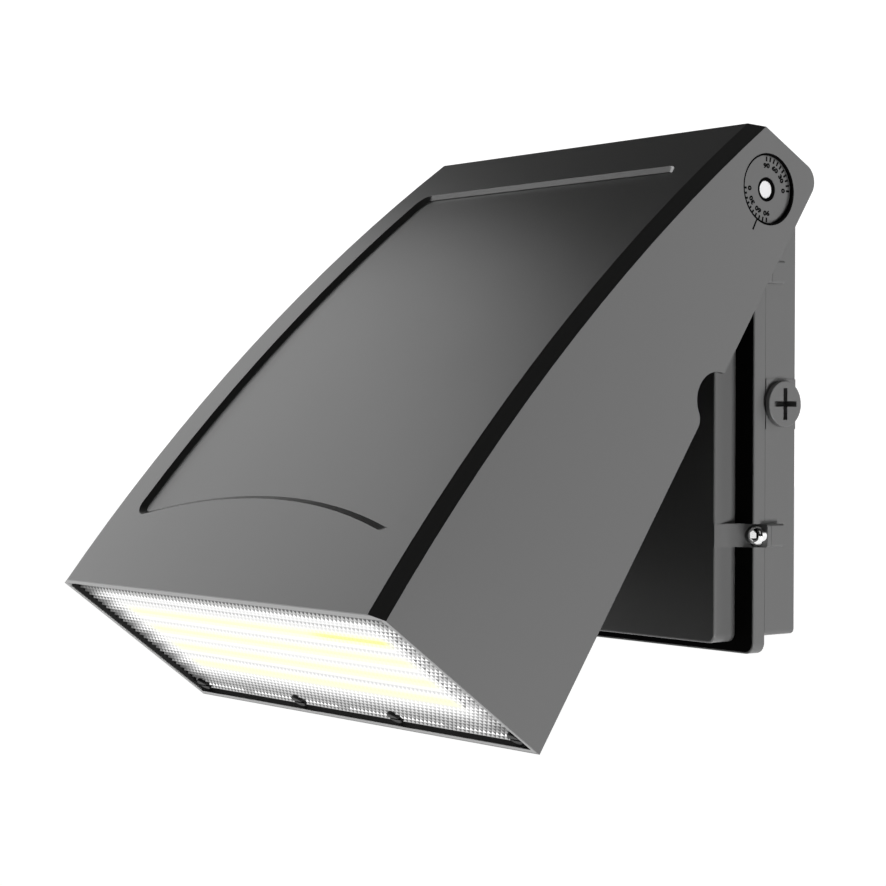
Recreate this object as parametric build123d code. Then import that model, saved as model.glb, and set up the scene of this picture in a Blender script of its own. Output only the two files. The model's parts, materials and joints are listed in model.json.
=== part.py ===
"""Outdoor wall light with a tilting cast hood, built as separate pieces in one frame.

The wall is the plane Y = 0, the front looks towards -Y and +Z is up. Wall box and hood are both drawn
around the pivot axis, with the hood closed. The hood is then swung open to the tilt of the photograph.
"""
import os
from math import cos, hypot, radians, sin, sqrt, tan

from build123d import *

os.makedirs("parts", exist_ok=True)

# Place of the pivot axis and the tilt at rest
PIVOT_TO_WALL = 38.5
PIVOT_ABOVE_MOUNT = 112.0
REST_TILT = 30.0

# Clearances
RUN_FIT = 0.05
SLIP_FIT = 0.05
SLIDE_GAP = 0.6
BREAK_THROUGH = 1.0

# Hood outline, closed, seen from the side
HOOD_WIDTH = 300.0
HOOD_DRAFT = 1.83
FRONT_RADIUS = 1188.0
HOOD_TOP = 27.7
TOP_EDGE_REACH = 22.0
RIM_FRONT_REACH = 119.6
RIM_FRONT_DROP = 310.7
RIM_REAR_REACH = 2.6
RIM_REAR_DROP = 324.9
EAR_BACK = 29.7
EAR_ROUND = 9.5
EDGE_CHAMFER_FRONT = 9.5
EDGE_CHAMFER_SIDE = 4.3

# Hood walls
HOOD_WALL = 3.0
FRONT_WALL = 6.5
REAR_WALL = 3.5
PANEL_DEPTH = 2.6
PANEL_SLOPE_RUN = 3.2
PANEL_FOOT_WALL = 0.15
PANEL_INSET = 30.3
PANEL_TOP = -6.3
PANEL_BOTTOM = -267.5
PANEL_ARCH_RISE = 17.3
PANEL_CORNER = 5.0

# Notch that clears a conduit fitting
NOTCH_RADIUS = 15.0
NOTCH_REACH = 20.6
NOTCH_DROP = 116.3
NOTCH_BLEND = 8.0

# Rear door of the hood
DOOR_BACK = 22.2
DOOR_THICK = 3.0
DOOR_TOP = -16.0
DOOR_GASKET = 1.2
LEDGE_THICK = 6.0
LEDGE_WIDE = 11.0
SPACE_TOP = -24.0
SHELF_GAP = 4.4
SHELF_THICK = 3.5
DOOR_SCREW_INSET = 5.5
DOOR_SCREW_ROWS = 4
DOOR_SCREW_SPREAD = 110.0

# Pivot
DIAL_RADIUS = 18.5
DIAL_EDGE_BREAK = 0.5
DIAL_SINK = 1.7
DIAL_THICK = 3.0
CHEEK_HUB_RADIUS = 26.0
EAR_RADIUS = 21.0
EAR_THICK = 12.0
EAR_TOP_BACK = -2.0
EAR_HEEL_BACK = 24.2
EAR_HEEL_UP = 9.0
EAR_TANGENT = 45.0
PIN_RADIUS = 4.0
PIN_END_RADIUS = 4.7
PIN_END_SINK = 0.8
PIN_SEAL_RADIUS = 6.4
PIN_SEAL_THICK = 2.0
PIN_TAIL = 1.0
WASHER_THICK = 0.6
NUT_ACROSS = 13.0
NUT_HEIGHT = 6.5
NUT_FLANGE_RADIUS = 9.0
NUT_FLANGE_THICK = 1.6
TICK_STEP = 10
TICK_LONG = 2.6
TICK_WIDE = 0.9
TICK_DEEP = 0.4
TICK_MARGIN = 1.3
POINTER_LONG = 6.4
POINTER_WIDE = 0.8
POINTER_DEEP = 0.5
POINTER_GAP = 0.2

# Wall box and its cover
CHEEK_ROOM = 24.8
FLANGE_FRONT = 4.6
FLANGE_DEPTH = 8.4
BOX_SEAM = 0.15
COVER_TOP = -26.0
COVER_BOTTOM = -245.0
FLANGE_LIP = 9.5
RAISED_DEPTH = 15.5
RAISED_INSET = 13.6
RAISED_FOOT = 5.7
COVER_WALL = 3.0
BOX_WALL = 4.5
BOX_BACK = 4.0
FLANGE_CORNER = 6.0
RAISED_CORNER = 5.0
RAISED_ROUND = 1.2
FLANGE_ROUND = 0.8
BOX_CORNER = 3.0
SIDE_LEDGE = 7.2
SIDE_LEDGE_DEEP = 5.0
GASKET_INSET = 1.4
GASKET_SIDE_INSET = 4.4
GASKET_WIDE = 1.8
GASKET_GROOVE = 1.6

# Cover screws, two on each side
SCREW_SPREAD = 140.0
SCREW_INSET = 0.5
SCREW_RADIUS = 3.0
SCREW_HEAD_RADIUS = 5.2
SCREW_HEAD_HEIGHT = 5.5
SCREW_LENGTH = 10.0
SCREW_KEY_ACROSS = 5.0
SEAT_DEPTH = 5.5
PAD_PROUD = 4.9
PAD_HALF = 6.2
PAD_BACK = 22.5
PAD_ROUND = 1.6
BOSS_RADIUS = 6.2

# Conduit entries
CONDUIT_BACK = 24.2
CONDUIT_RADIUS = 10.2
PLUG_HEAD_RADIUS = 12.3
PLUG_HEAD_THICK = 2.6
PLUG_LENGTH = 9.0
PLUG_SLOT_LONG = 17.0
PLUG_SLOT_WIDE = 3.0
PLUG_SLOT_DEEP = 8.0
SEAL_THICK = 0.8
CONDUIT_PAD_PROUD = 0.6
CONDUIT_PAD_HALF = 13.4

# Back of the box
WIRE_HOLE_RADIUS = 11.0
BOLT_RADIUS = 3.4
BOLT_SPACING_X = 180.0
BOLT_SPACING_Z = 130.0
WALL_SEAL_THICK = 3.0
WALL_SEAL_INSET = 8.0

# Lens and light engine, measured inwards from the rim plane
RIM_SIDE = 3.0
RIM_REAR = 3.4
RIM_FRONT = 2.9
LIP_FRONT = 4.1
LENS_SINK = 3.0
LENS_THICK = 4.6
LENS_PLAY = 0.5
LENS_CORNER = 7.0
LENS_GASKET_THICK = 1.2
LENS_GASKET_WIDE = 3.4
SEAT_THICK = 3.0
SEAT_SIDE = 13.0
SEAT_FRONT = 8.0
SEAT_REAR = 13.2
LENS_SCREW_INSET = 9.2
LENS_SCREW_MARGIN = 7.0
LENS_SCREW_INNER = 43.3
LENS_POST_RADIUS = 3.3
LENS_SCREW_HEAD = 4.6
LENS_SCREW_HEAD_HEIGHT = 2.0
LENS_SCREW_RADIUS = 1.4
LENS_SCREW_LENGTH = 6.5
REFLECTOR_HEIGHT = 8.2
REFLECTOR_LAP = 2.0
REFLECTOR_WALL = 8.0
REFLECTOR_FLARE = 3.0
BOARD_THICK = 1.6
SINK_THICK = 4.0
SINK_SIDE_LAP = 9.0
FIN_COUNT = 9
FIN_THICK = 2.5
FIN_HEIGHT = 10.0
LED_ROWS = 4
LED_PER_ROW = 28
LED_ROW_PITCH = 17.0
LED_END_MARGIN = 18.5
LED_SIZE = 4.0
LED_THICK = 0.8
SINK_POST_RADIUS = 3.8
SINK_POST_SPREAD = 60.0

# Shares that shape a screw head, a dome or a plug edge
HEAD_ROUND = 0.4
KEY_SINK = 0.5
SLOT_SHARE = 0.28
EDGE_ROUND = 0.2

# Small screws in the hood
M4_RADIUS = 1.6
M4_HEAD_RADIUS = 3.6
M4_HEAD_HEIGHT = 2.4
M4_LENGTH = 8.0

# Driver and fittings on the door
DRIVER_LONG = 150.0
DRIVER_TALL = 60.0
DRIVER_DEEP = 29.0
DRIVER_DROP = 160.0
DRIVER_FOOT_LONG = 13.0
DRIVER_FOOT_THICK = 2.0
DRIVER_SCREW_GRIP = 2.4
FITTING_OFFSET = 45.0
FITTING_DROP = 38.0
GLAND_ACROSS = 16.0
GLAND_HEX_HEIGHT = 4.0
GLAND_DOME_HEIGHT = 5.0
GLAND_DOME_RADIUS = 6.5
GLAND_NECK_RADIUS = 6.0
GLAND_NUT_HEIGHT = 4.0
GLAND_BORE_RADIUS = 3.0
VENT_RADIUS = 7.0
VENT_HEIGHT = 3.0
VENT_NECK_RADIUS = 4.0
TERMINAL_LONG = 46.0
TERMINAL_TALL = 18.0
TERMINAL_DEEP = 15.0
TERMINAL_DROP = 70.0
TERMINAL_WAYS = 3
TERMINAL_WAY_RADIUS = 3.8
TERMINAL_WAY_DEEP = 6.0
GROUND_RADIUS = 2.5
GROUND_HEAD_RADIUS = 4.8
GROUND_HEAD_HEIGHT = 3.0
GROUND_OFFSET = 60.0

# Places worked out from the sizes above
BOX_WIDTH = HOOD_WIDTH - 2 * CHEEK_ROOM
BOX_HALF = BOX_WIDTH / 2
BOX_FRONT = FLANGE_FRONT + FLANGE_DEPTH + BOX_SEAM
BOX_REAR = PIVOT_TO_WALL - WALL_SEAL_THICK
BOX_BOTTOM = COVER_BOTTOM + FLANGE_LIP
FLANGE_BACK = FLANGE_FRONT + FLANGE_DEPTH
RAISED_FRONT = FLANGE_FRONT - RAISED_DEPTH
RAISED_HALF = BOX_HALF - RAISED_INSET
MOUNT_Z = -PIVOT_ABOVE_MOUNT
INNER_BACK = BOX_REAR - BOX_BACK
SCREW_X = BOX_HALF - SCREW_INSET
SCREW_SEAT = FLANGE_FRONT + SEAT_DEPTH
SCREW_HEIGHTS = (MOUNT_Z + SCREW_SPREAD / 2, MOUNT_Z - SCREW_SPREAD / 2)
DOOR_FRONT = DOOR_BACK + DOOR_THICK
LEDGE_BACK = DOOR_FRONT + DOOR_GASKET
LEDGE_FRONT = LEDGE_BACK + LEDGE_THICK
SHELF_TOP = COVER_BOTTOM - SHELF_GAP
DOOR_BOTTOM = SHELF_TOP + 2 * BREAK_THROUGH
WINDOW_BOTTOM = SHELF_TOP + LEDGE_WIDE - BREAK_THROUGH
GLAND_Y = (BOX_FRONT + INNER_BACK) / 2
SIDES = (1, -1)
FAR = 400.0


def cheek_half(z, inset=0.0):
    """Half width of the drafted hood at height z, less an inset from its outside."""
    return HOOD_WIDTH / 2 - (z + RIM_REAR_DROP) * tan(radians(HOOD_DRAFT)) - inset


def block(x, y, z):
    """A box from three (low, high) pairs."""
    size = [high - low for low, high in (x, y, z)]
    return Pos(x[0], y[0], z[0]) * Box(*size, align=(Align.MIN, Align.MIN, Align.MIN))


def along_x(radius, low, high, y=0.0, z=0.0):
    """A cylinder along X from low to high."""
    rod = Cylinder(radius, high - low, align=(Align.CENTER, Align.CENTER, Align.MIN))
    return Pos(low, y, z) * Rot(0, 90, 0) * rod


def along_y(radius, low, high, x=0.0, z=0.0):
    """A cylinder along Y from low to high."""
    rod = Cylinder(radius, high - low, align=(Align.CENTER, Align.CENTER, Align.MAX))
    return Pos(x, low, z) * Rot(90, 0, 0) * rod


def side_slab(face, half):
    """A side view in (Y, Z), made thick along X by half on each side."""
    return extrude(Plane.YZ * face, amount=half, both=True)


def flared(z_low, z_high, y_low, y_high, inset):
    """A slab between two drafted planes, inset from the outside of the cheeks."""
    corners = [
        (-cheek_half(z_low, inset), z_low),
        (cheek_half(z_low, inset), z_low),
        (cheek_half(z_high, inset), z_high),
        (-cheek_half(z_high, inset), z_high),
    ]
    outline = make_face(Polyline(*corners, close=True))
    return Pos(0, y_high, 0) * extrude(Plane.XZ * outline, amount=y_high - y_low)


def rounded(x_half, z_low, z_high, y_low, y_high, corner):
    """A plate in the XZ plane with rounded corners, from y_low to y_high."""
    outline = RectangleRounded(2 * x_half, z_high - z_low, corner)
    plate = extrude(Plane.XZ * outline, amount=y_high - y_low)
    return Pos(0, y_high, (z_low + z_high) / 2) * plate


def polygon(*points):
    """A flat face from corner points."""
    return make_face(Polyline(*points, close=True))


def facing(origin, direction):
    """Where a part drawn up its own Z axis goes so that it points in a direction."""
    return Plane(origin=origin, z_dir=direction).location


def cap_screw(head_radius, head_height, radius, length, key):
    """A cap screw with its seat at Z = 0, its head up and a hexagon key recess."""
    head = extrude(Circle(head_radius), amount=head_height)
    head = fillet(head.edges().group_by(Axis.Z)[-1], head_height * HEAD_ROUND)
    shank = extrude(Circle(radius), amount=-length)
    hexagon = RegularPolygon(key / 2, 6, major_radius=False)
    recess = Pos(0, 0, head_height * KEY_SINK) * extrude(hexagon, head_height)
    return head + shank - recess


def pan_screw(head_radius, head_height, radius, length):
    """A small pan head screw with its seat at Z = 0 and a straight slot."""
    head = extrude(Circle(head_radius), amount=head_height)
    head = fillet(head.edges().group_by(Axis.Z)[-1], head_height * HEAD_ROUND)
    slot = Pos(0, 0, head_height) * Box(2 * head_radius, head_radius * SLOT_SHARE, head_height)
    return head + extrude(Circle(radius), amount=-length) - slot


def gland(wall, nut_height):
    """A cable gland with its flange on Z = 0 and its nut behind a wall."""
    body = extrude(RegularPolygon(GLAND_ACROSS / 2, 6, major_radius=False), amount=GLAND_HEX_HEIGHT)
    dome = Pos(0, 0, GLAND_HEX_HEIGHT) * extrude(Circle(GLAND_DOME_RADIUS), amount=GLAND_DOME_HEIGHT)
    dome = fillet(dome.edges().group_by(Axis.Z)[-1], GLAND_DOME_HEIGHT * HEAD_ROUND)
    neck = extrude(Circle(GLAND_NECK_RADIUS), amount=-wall - nut_height)
    nut = Pos(0, 0, -wall - nut_height) * extrude(
        RegularPolygon(GLAND_ACROSS / 2, 6, major_radius=False), amount=nut_height
    )
    bore = Cylinder(GLAND_BORE_RADIUS, FAR)
    return body + dome + neck + nut - bore


def both_sides(right):
    """A piece on the right and its mirror image on the left."""
    return [right, mirror(right, about=Plane.YZ)]


# Side view of the hood
TOP_EDGE = (-TOP_EDGE_REACH, HOOD_TOP)
RIM_FRONT_EDGE = (-RIM_FRONT_REACH, -RIM_FRONT_DROP)
RIM_REAR_EDGE = (-RIM_REAR_REACH, -RIM_REAR_DROP)
EAR_CORNER = (EAR_BACK, HOOD_TOP)
CHORD = (TOP_EDGE[0] - RIM_FRONT_EDGE[0], TOP_EDGE[1] - RIM_FRONT_EDGE[1])
CHORD_LONG = hypot(*CHORD)
ARC_OFFSET = sqrt(FRONT_RADIUS**2 - (CHORD_LONG / 2) ** 2)
ARC_Y = (TOP_EDGE[0] + RIM_FRONT_EDGE[0]) / 2 + ARC_OFFSET * CHORD[1] / CHORD_LONG
ARC_Z = (TOP_EDGE[1] + RIM_FRONT_EDGE[1]) / 2 - ARC_OFFSET * CHORD[0] / CHORD_LONG
REAR_SLOPE = (EAR_CORNER[0] - RIM_REAR_EDGE[0]) / (EAR_CORNER[1] - RIM_REAR_EDGE[1])


def rear_edge(z):
    """How far back the straight rear edge of the cheeks is at height z."""
    return RIM_REAR_EDGE[0] + (z - RIM_REAR_EDGE[1]) * REAR_SLOPE


def front_disc(inset):
    """The disc whose rim is the curved front, moved in by an inset."""
    return Pos(ARC_Y, ARC_Z) * Circle(FRONT_RADIUS - inset)


def arc_at(z, inset=0.0):
    """How far forward the curved front is at height z, moved in by an inset."""
    return ARC_Y - sqrt((FRONT_RADIUS - inset) ** 2 - (z - ARC_Z) ** 2)


ARC_MID_Z = (TOP_EDGE[1] + RIM_FRONT_EDGE[1]) / 2
hood_lines = [
    ThreePointArc(TOP_EDGE, (arc_at(ARC_MID_Z), ARC_MID_Z), RIM_FRONT_EDGE),
    Line(RIM_FRONT_EDGE, RIM_REAR_EDGE),
    Line(RIM_REAR_EDGE, EAR_CORNER),
    Line(EAR_CORNER, TOP_EDGE),
]
hood_view = make_face(Curve() + hood_lines)
hood_view = fillet(hood_view.vertices().sort_by(Axis.X)[-1], EAR_ROUND)
hood_view = hood_view - Pos(NOTCH_REACH, -NOTCH_DROP) * Circle(NOTCH_RADIUS)
notch_foot = (rear_edge(-NOTCH_DROP), -NOTCH_DROP - NOTCH_RADIUS, 0)
notch_lower = hood_view.vertices().sort_by_distance(notch_foot)[0]
hood_view = fillet(notch_lower, NOTCH_BLEND)

# Hood casting: drafted cheeks, chamfered front edges and hollow inside
hood = side_slab(hood_view, HOOD_WIDTH) & flared(-FAR, FAR / 4, -FAR, FAR, 0)
front_edges = hood.edges().filter_by(GeomType.ELLIPSE).sort_by(SortBy.LENGTH)[-2:]
front_face = hood.faces().filter_by(GeomType.CYLINDER).sort_by(SortBy.AREA)[-1]
hood = chamfer(front_edges, EDGE_CHAMFER_FRONT, EDGE_CHAMFER_SIDE, reference=front_face)

space = polygon((-FAR, -FAR), (-LEDGE_FRONT, -FAR), (-LEDGE_FRONT, SPACE_TOP), (-FAR, SPACE_TOP))
behind = polygon((-LEDGE_BACK, SHELF_TOP), (FAR, SHELF_TOP), (FAR, FAR), (-LEDGE_BACK, FAR))
shelf_under = SHELF_TOP - SHELF_THICK
light_space = polygon(
    (-LEDGE_FRONT - BREAK_THROUGH, -FAR),
    (rear_edge(-FAR) - REAR_WALL, -FAR),
    (rear_edge(shelf_under) - REAR_WALL, shelf_under),
    (-LEDGE_FRONT - BREAK_THROUGH, shelf_under),
)
hollow_view = (space + behind + light_space) & front_disc(FRONT_WALL)
hood -= side_slab(hollow_view, HOOD_WIDTH) & flared(-FAR, FAR / 4, -FAR, FAR, HOOD_WALL)
hood -= flared(
    WINDOW_BOTTOM,
    SPACE_TOP,
    -LEDGE_FRONT - BREAK_THROUGH,
    -LEDGE_BACK + BREAK_THROUGH,
    HOOD_WALL + LEDGE_WIDE,
)

# Sunk panel of the curved front, with sloping sides and an arched lower edge
panel_low = cheek_half(PANEL_BOTTOM, PANEL_INSET)
panel_high = cheek_half(PANEL_TOP, PANEL_INSET)
panel_crown = (0, PANEL_BOTTOM + PANEL_ARCH_RISE)
panel_lines = [
    Line((-panel_low, PANEL_BOTTOM), (-panel_high, PANEL_TOP)),
    Line((-panel_high, PANEL_TOP), (panel_high, PANEL_TOP)),
    Line((panel_high, PANEL_TOP), (panel_low, PANEL_BOTTOM)),
    ThreePointArc((panel_low, PANEL_BOTTOM), panel_crown, (-panel_low, PANEL_BOTTOM)),
]
panel_view = offset(make_face(Curve() + panel_lines), -PANEL_SLOPE_RUN, kind=Kind.INTERSECTION)
panel_view = fillet(panel_view.vertices(), PANEL_CORNER)
panel_floor = side_slab(front_disc(PANEL_DEPTH), HOOD_WIDTH)
panel_cut = extrude(Plane.XZ * panel_view, amount=FAR) - panel_floor
hood -= panel_cut
curved_faces = hood.faces().filter_by(GeomType.CYLINDER)
front_face = [face for face in curved_faces if face.inner_wires()][0]
panel_edge = front_face.inner_wires()[0].edges()
hood = chamfer(panel_edge, PANEL_SLOPE_RUN, PANEL_DEPTH - PANEL_FOOT_WALL, reference=front_face)

# Hubs of the cheeks that turn on the trunnions
EAR_FACE = BOX_HALF
HUB_FACE = EAR_FACE + 2 * WASHER_THICK
for side in SIDES:
    low, high = sorted((side * HUB_FACE, side * (cheek_half(0, HOOD_WALL) + BREAK_THROUGH)))
    hood += along_x(CHEEK_HUB_RADIUS, low, high) & side_slab(front_disc(BREAK_THROUGH), HOOD_WIDTH)
hood -= along_x(DIAL_RADIUS + RUN_FIT, -HOOD_WIDTH, HOOD_WIDTH)
bore_edge = Cone(DIAL_RADIUS, DIAL_RADIUS + 2 * DIAL_EDGE_BREAK, 2 * DIAL_EDGE_BREAK)
for side in SIDES:
    outwards = (side * cos(radians(HOOD_DRAFT)), 0, sin(radians(HOOD_DRAFT)))
    hood -= facing((side * cheek_half(0), 0, 0), outwards) * bore_edge

# Pointer line below each dial
POINTER_TOP = -DIAL_RADIUS - POINTER_GAP
POINTER_X = cheek_half(POINTER_TOP - POINTER_LONG / 2)
for side in SIDES:
    low, high = sorted((side * (POINTER_X - POINTER_DEEP), side * (POINTER_X + BREAK_THROUGH)))
    pointer_span = (POINTER_TOP - POINTER_LONG, POINTER_TOP)
    hood -= block((low, high), (-POINTER_WIDE / 2, POINTER_WIDE / 2), pointer_span)

# Rim plane: X to the right, Y from front to rear, Z inwards
RIM_LONG = hypot(RIM_REAR_EDGE[0] - RIM_FRONT_EDGE[0], RIM_REAR_EDGE[1] - RIM_FRONT_EDGE[1])
RIM_ALONG = (
    (RIM_REAR_EDGE[0] - RIM_FRONT_EDGE[0]) / RIM_LONG,
    (RIM_REAR_EDGE[1] - RIM_FRONT_EDGE[1]) / RIM_LONG,
)
RIM_PLANE = Plane(
    origin=(0, (RIM_FRONT_EDGE[0] + RIM_REAR_EDGE[0]) / 2, (RIM_FRONT_EDGE[1] + RIM_REAR_EDGE[1]) / 2),
    x_dir=(1, 0, 0),
    z_dir=(0, -RIM_ALONG[1], RIM_ALONG[0]),
)
RIM_HALF = RIM_LONG / 2
POCKET_SIDE = cheek_half(-RIM_REAR_DROP, RIM_SIDE) - LENS_PLAY
POCKET_FRONT = -RIM_HALF + RIM_FRONT
POCKET_REAR = RIM_HALF - RIM_REAR
LIP_EDGE = -RIM_HALF + LIP_FRONT
LENS_BACK = LENS_SINK + LENS_THICK
SEAT_FACE = LENS_BACK + LENS_GASKET_THICK
SEAT_BACK = SEAT_FACE + SEAT_THICK
THROAT_SIDE = POCKET_SIDE - SEAT_SIDE
THROAT_FRONT = POCKET_FRONT + SEAT_FRONT
THROAT_REAR = POCKET_REAR - SEAT_REAR
LENS_SCREW_Y = RIM_HALF - LENS_SCREW_INSET
LENS_SCREW_OUTER = POCKET_SIDE - LENS_SCREW_MARGIN
LENS_SCREW_XS = (-LENS_SCREW_OUTER, -LENS_SCREW_INNER, LENS_SCREW_INNER, LENS_SCREW_OUTER)


def rim_plate(x_half, y_low, y_high, z_low, z_high, corner):
    """A plate parallel to the rim plane with rounded corners."""
    outline = Pos(0, (y_low + y_high) / 2) * RectangleRounded(2 * x_half, y_high - y_low, corner)
    return Pos(0, 0, z_low) * extrude(outline, amount=z_high - z_low)


def at_lens_screws(shape):
    """Copies of a shape at the lens screws along the rear of the rim."""
    return [Pos(x, LENS_SCREW_Y, 0) * shape for x in LENS_SCREW_XS]


# Seat and pocket of the lens, with posts for its screws
SEAT_HALF = cheek_half(-RIM_REAR_DROP, HOOD_WALL / 2)
seat_ring = rim_plate(
    SEAT_HALF, -RIM_HALF + FRONT_WALL / 2, RIM_HALF - REAR_WALL / 2, SEAT_FACE, SEAT_BACK, LENS_CORNER
)
seat_ring -= rim_plate(
    THROAT_SIDE, THROAT_FRONT, THROAT_REAR, SEAT_FACE - BREAK_THROUGH, SEAT_BACK + BREAK_THROUGH, LENS_CORNER
)
hood += RIM_PLANE.location * seat_ring
hood -= RIM_PLANE.location * rim_plate(
    POCKET_SIDE, POCKET_FRONT, POCKET_REAR, LENS_SINK - SLIP_FIT, SEAT_FACE, LENS_CORNER + LENS_PLAY
)
hood -= RIM_PLANE.location * rim_plate(
    POCKET_SIDE, LIP_EDGE, POCKET_REAR, -FAR / 10, LENS_SINK, LENS_CORNER + LENS_PLAY
)
post_height = SEAT_FACE - LENS_SINK + BREAK_THROUGH
hole_depth = LENS_SCREW_LENGTH + SLIP_FIT
lens_post = Pos(0, 0, LENS_SINK) * extrude(Circle(LENS_POST_RADIUS), amount=post_height)
lens_hole = Pos(0, 0, LENS_SINK) * extrude(Circle(LENS_SCREW_RADIUS + SLIP_FIT), amount=hole_depth)
for post in at_lens_screws(lens_post):
    hood += RIM_PLANE.location * post
for hole in at_lens_screws(lens_hole):
    hood -= RIM_PLANE.location * hole

# Posts that carry the heat sink beside the reflector
REFLECTOR_SIDE = THROAT_SIDE + REFLECTOR_LAP
REFLECTOR_FRONT = THROAT_FRONT - REFLECTOR_LAP
REFLECTOR_REAR = THROAT_REAR + REFLECTOR_LAP
REFLECTOR_TOP = SEAT_BACK + REFLECTOR_HEIGHT
BOARD_TOP = REFLECTOR_TOP + BOARD_THICK
SINK_TOP = BOARD_TOP + SINK_THICK
SINK_SIDE = REFLECTOR_SIDE + SINK_SIDE_LAP
ENGINE_Y = (THROAT_FRONT + THROAT_REAR) / 2
SINK_POST_X = REFLECTOR_SIDE + SINK_POST_RADIUS + 2 * SLIDE_GAP
SINK_POSTS = [
    (side * SINK_POST_X, ENGINE_Y + end * SINK_POST_SPREAD / 2) for side in SIDES for end in SIDES
]
for x, y in SINK_POSTS:
    post = Pos(x, y, SEAT_FACE) * extrude(Circle(SINK_POST_RADIUS), amount=BOARD_TOP - SEAT_FACE)
    hood += RIM_PLANE.location * post
    bore = Pos(x, y, SEAT_BACK) * extrude(Circle(M4_RADIUS + SLIP_FIT), amount=FAR / 10)
    hood -= RIM_PLANE.location * bore

# Rear door, its gasket and its screws
DOOR_SCREW_STEP = (SPACE_TOP - WINDOW_BOTTOM) / DOOR_SCREW_ROWS
DOOR_SCREWS = []
for row in range(DOOR_SCREW_ROWS):
    z = SPACE_TOP - DOOR_SCREW_STEP * (row + 0.5)
    for side in SIDES:
        DOOR_SCREWS.append((side * cheek_half(z, HOOD_WALL + DOOR_SCREW_INSET), z))
for side in SIDES:
    DOOR_SCREWS.append((side * DOOR_SCREW_SPREAD / 2, (SPACE_TOP + DOOR_TOP) / 2))
    DOOR_SCREWS.append((side * DOOR_SCREW_SPREAD / 2, SHELF_TOP + DOOR_SCREW_INSET))

rear_cover = flared(DOOR_BOTTOM, DOOR_TOP, -DOOR_FRONT, -DOOR_BACK, HOOD_WALL + SLIDE_GAP)
rear_gasket = flared(DOOR_BOTTOM, DOOR_TOP, -LEDGE_BACK, -DOOR_FRONT, HOOD_WALL + 2 * SLIDE_GAP)
rear_gasket -= flared(
    WINDOW_BOTTOM,
    SPACE_TOP,
    -LEDGE_BACK - BREAK_THROUGH,
    -DOOR_FRONT + BREAK_THROUGH,
    HOOD_WALL + LEDGE_WIDE,
)
rear_screws = []
for x, z in DOOR_SCREWS:
    through = along_y(M4_RADIUS + SLIP_FIT, -DOOR_BACK - M4_LENGTH - SLIP_FIT, 0, x, z)
    rear_cover -= through
    rear_gasket -= through
    hood -= through
    rear_screws.append(facing((x, -DOOR_BACK, z), (0, 1, 0)) * pan_screw(
        M4_HEAD_RADIUS, M4_HEAD_HEIGHT, M4_RADIUS, M4_LENGTH
    ))

# Lead gland and breather vent on the door
gland_spot = (FITTING_OFFSET, -DOOR_BACK, -FITTING_DROP)
vent_spot = (-FITTING_OFFSET, -DOOR_BACK, -FITTING_DROP)
door_inside = -DOOR_FRONT - BREAK_THROUGH
rear_cover -= along_y(GLAND_NECK_RADIUS + SLIP_FIT, door_inside, 0, gland_spot[0], gland_spot[2])
rear_cover -= along_y(VENT_NECK_RADIUS + SLIP_FIT, door_inside, 0, vent_spot[0], vent_spot[2])
head_gland = facing(gland_spot, (0, 1, 0)) * gland(DOOR_THICK, GLAND_NUT_HEIGHT)
vent = extrude(Circle(VENT_RADIUS), amount=VENT_HEIGHT)
vent = fillet(vent.edges().group_by(Axis.Z)[-1], VENT_HEIGHT * HEAD_ROUND)
vent += extrude(Circle(VENT_NECK_RADIUS), amount=-DOOR_THICK - VENT_HEIGHT)
breather_vent = facing(vent_spot, (0, 1, 0)) * vent

# Driver on the inside of the door
foot_half = DRIVER_LONG / 2 + DRIVER_FOOT_LONG
driver_low = -DRIVER_DROP - DRIVER_TALL / 2
driver_high = -DRIVER_DROP + DRIVER_TALL / 2
foot_front = -DOOR_FRONT - DRIVER_FOOT_THICK
driver = block((-foot_half, foot_half), (foot_front, -DOOR_FRONT), (driver_low, driver_high))
driver += rounded(
    DRIVER_LONG / 2,
    driver_low,
    driver_high,
    -DOOR_FRONT - DRIVER_DEEP,
    foot_front + BREAK_THROUGH,
    BOX_CORNER,
)
driver_screws = []
for side in SIDES:
    for z in (driver_low + DRIVER_FOOT_LONG / 2, driver_high - DRIVER_FOOT_LONG / 2):
        x = side * (foot_half - DRIVER_FOOT_LONG / 2)
        hole_end = -DOOR_FRONT + DRIVER_SCREW_GRIP
        hole = along_y(M4_RADIUS + SLIP_FIT, foot_front - BREAK_THROUGH, hole_end, x, z)
        driver -= hole
        rear_cover -= hole
        driver_screws.append(facing((x, foot_front, z), (0, -1, 0)) * pan_screw(
            M4_HEAD_RADIUS, M4_HEAD_HEIGHT, M4_RADIUS, DRIVER_FOOT_THICK + DRIVER_SCREW_GRIP - SLIP_FIT
        ))

# Lens with notches around its screw posts
LENS_SIDE = POCKET_SIDE - LENS_PLAY
LENS_FRONT = POCKET_FRONT + LENS_PLAY
LENS_REAR = POCKET_REAR - LENS_PLAY
lens = rim_plate(LENS_SIDE, LENS_FRONT, LENS_REAR, LENS_SINK, LENS_BACK, LENS_CORNER)
for notch in at_lens_screws(Cylinder(LENS_POST_RADIUS + LENS_PLAY, FAR)):
    lens -= notch
GASKET_REAR = LENS_SCREW_Y - LENS_POST_RADIUS - LENS_PLAY
lens_gasket = rim_plate(
    THROAT_SIDE + LENS_GASKET_WIDE,
    THROAT_FRONT - LENS_GASKET_WIDE,
    GASKET_REAR,
    LENS_BACK,
    SEAT_FACE,
    LENS_CORNER,
)
lens_gasket -= rim_plate(
    THROAT_SIDE, THROAT_FRONT, GASKET_REAR - LENS_GASKET_WIDE, 0, SEAT_BACK, LENS_CORNER - LENS_GASKET_WIDE
)
lens_screw = Pos(0, 0, LENS_SINK) * Rot(180, 0, 0) * pan_screw(
    LENS_SCREW_HEAD, LENS_SCREW_HEAD_HEIGHT, LENS_SCREW_RADIUS, LENS_SCREW_LENGTH
)
lens_screws = at_lens_screws(lens_screw)

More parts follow.
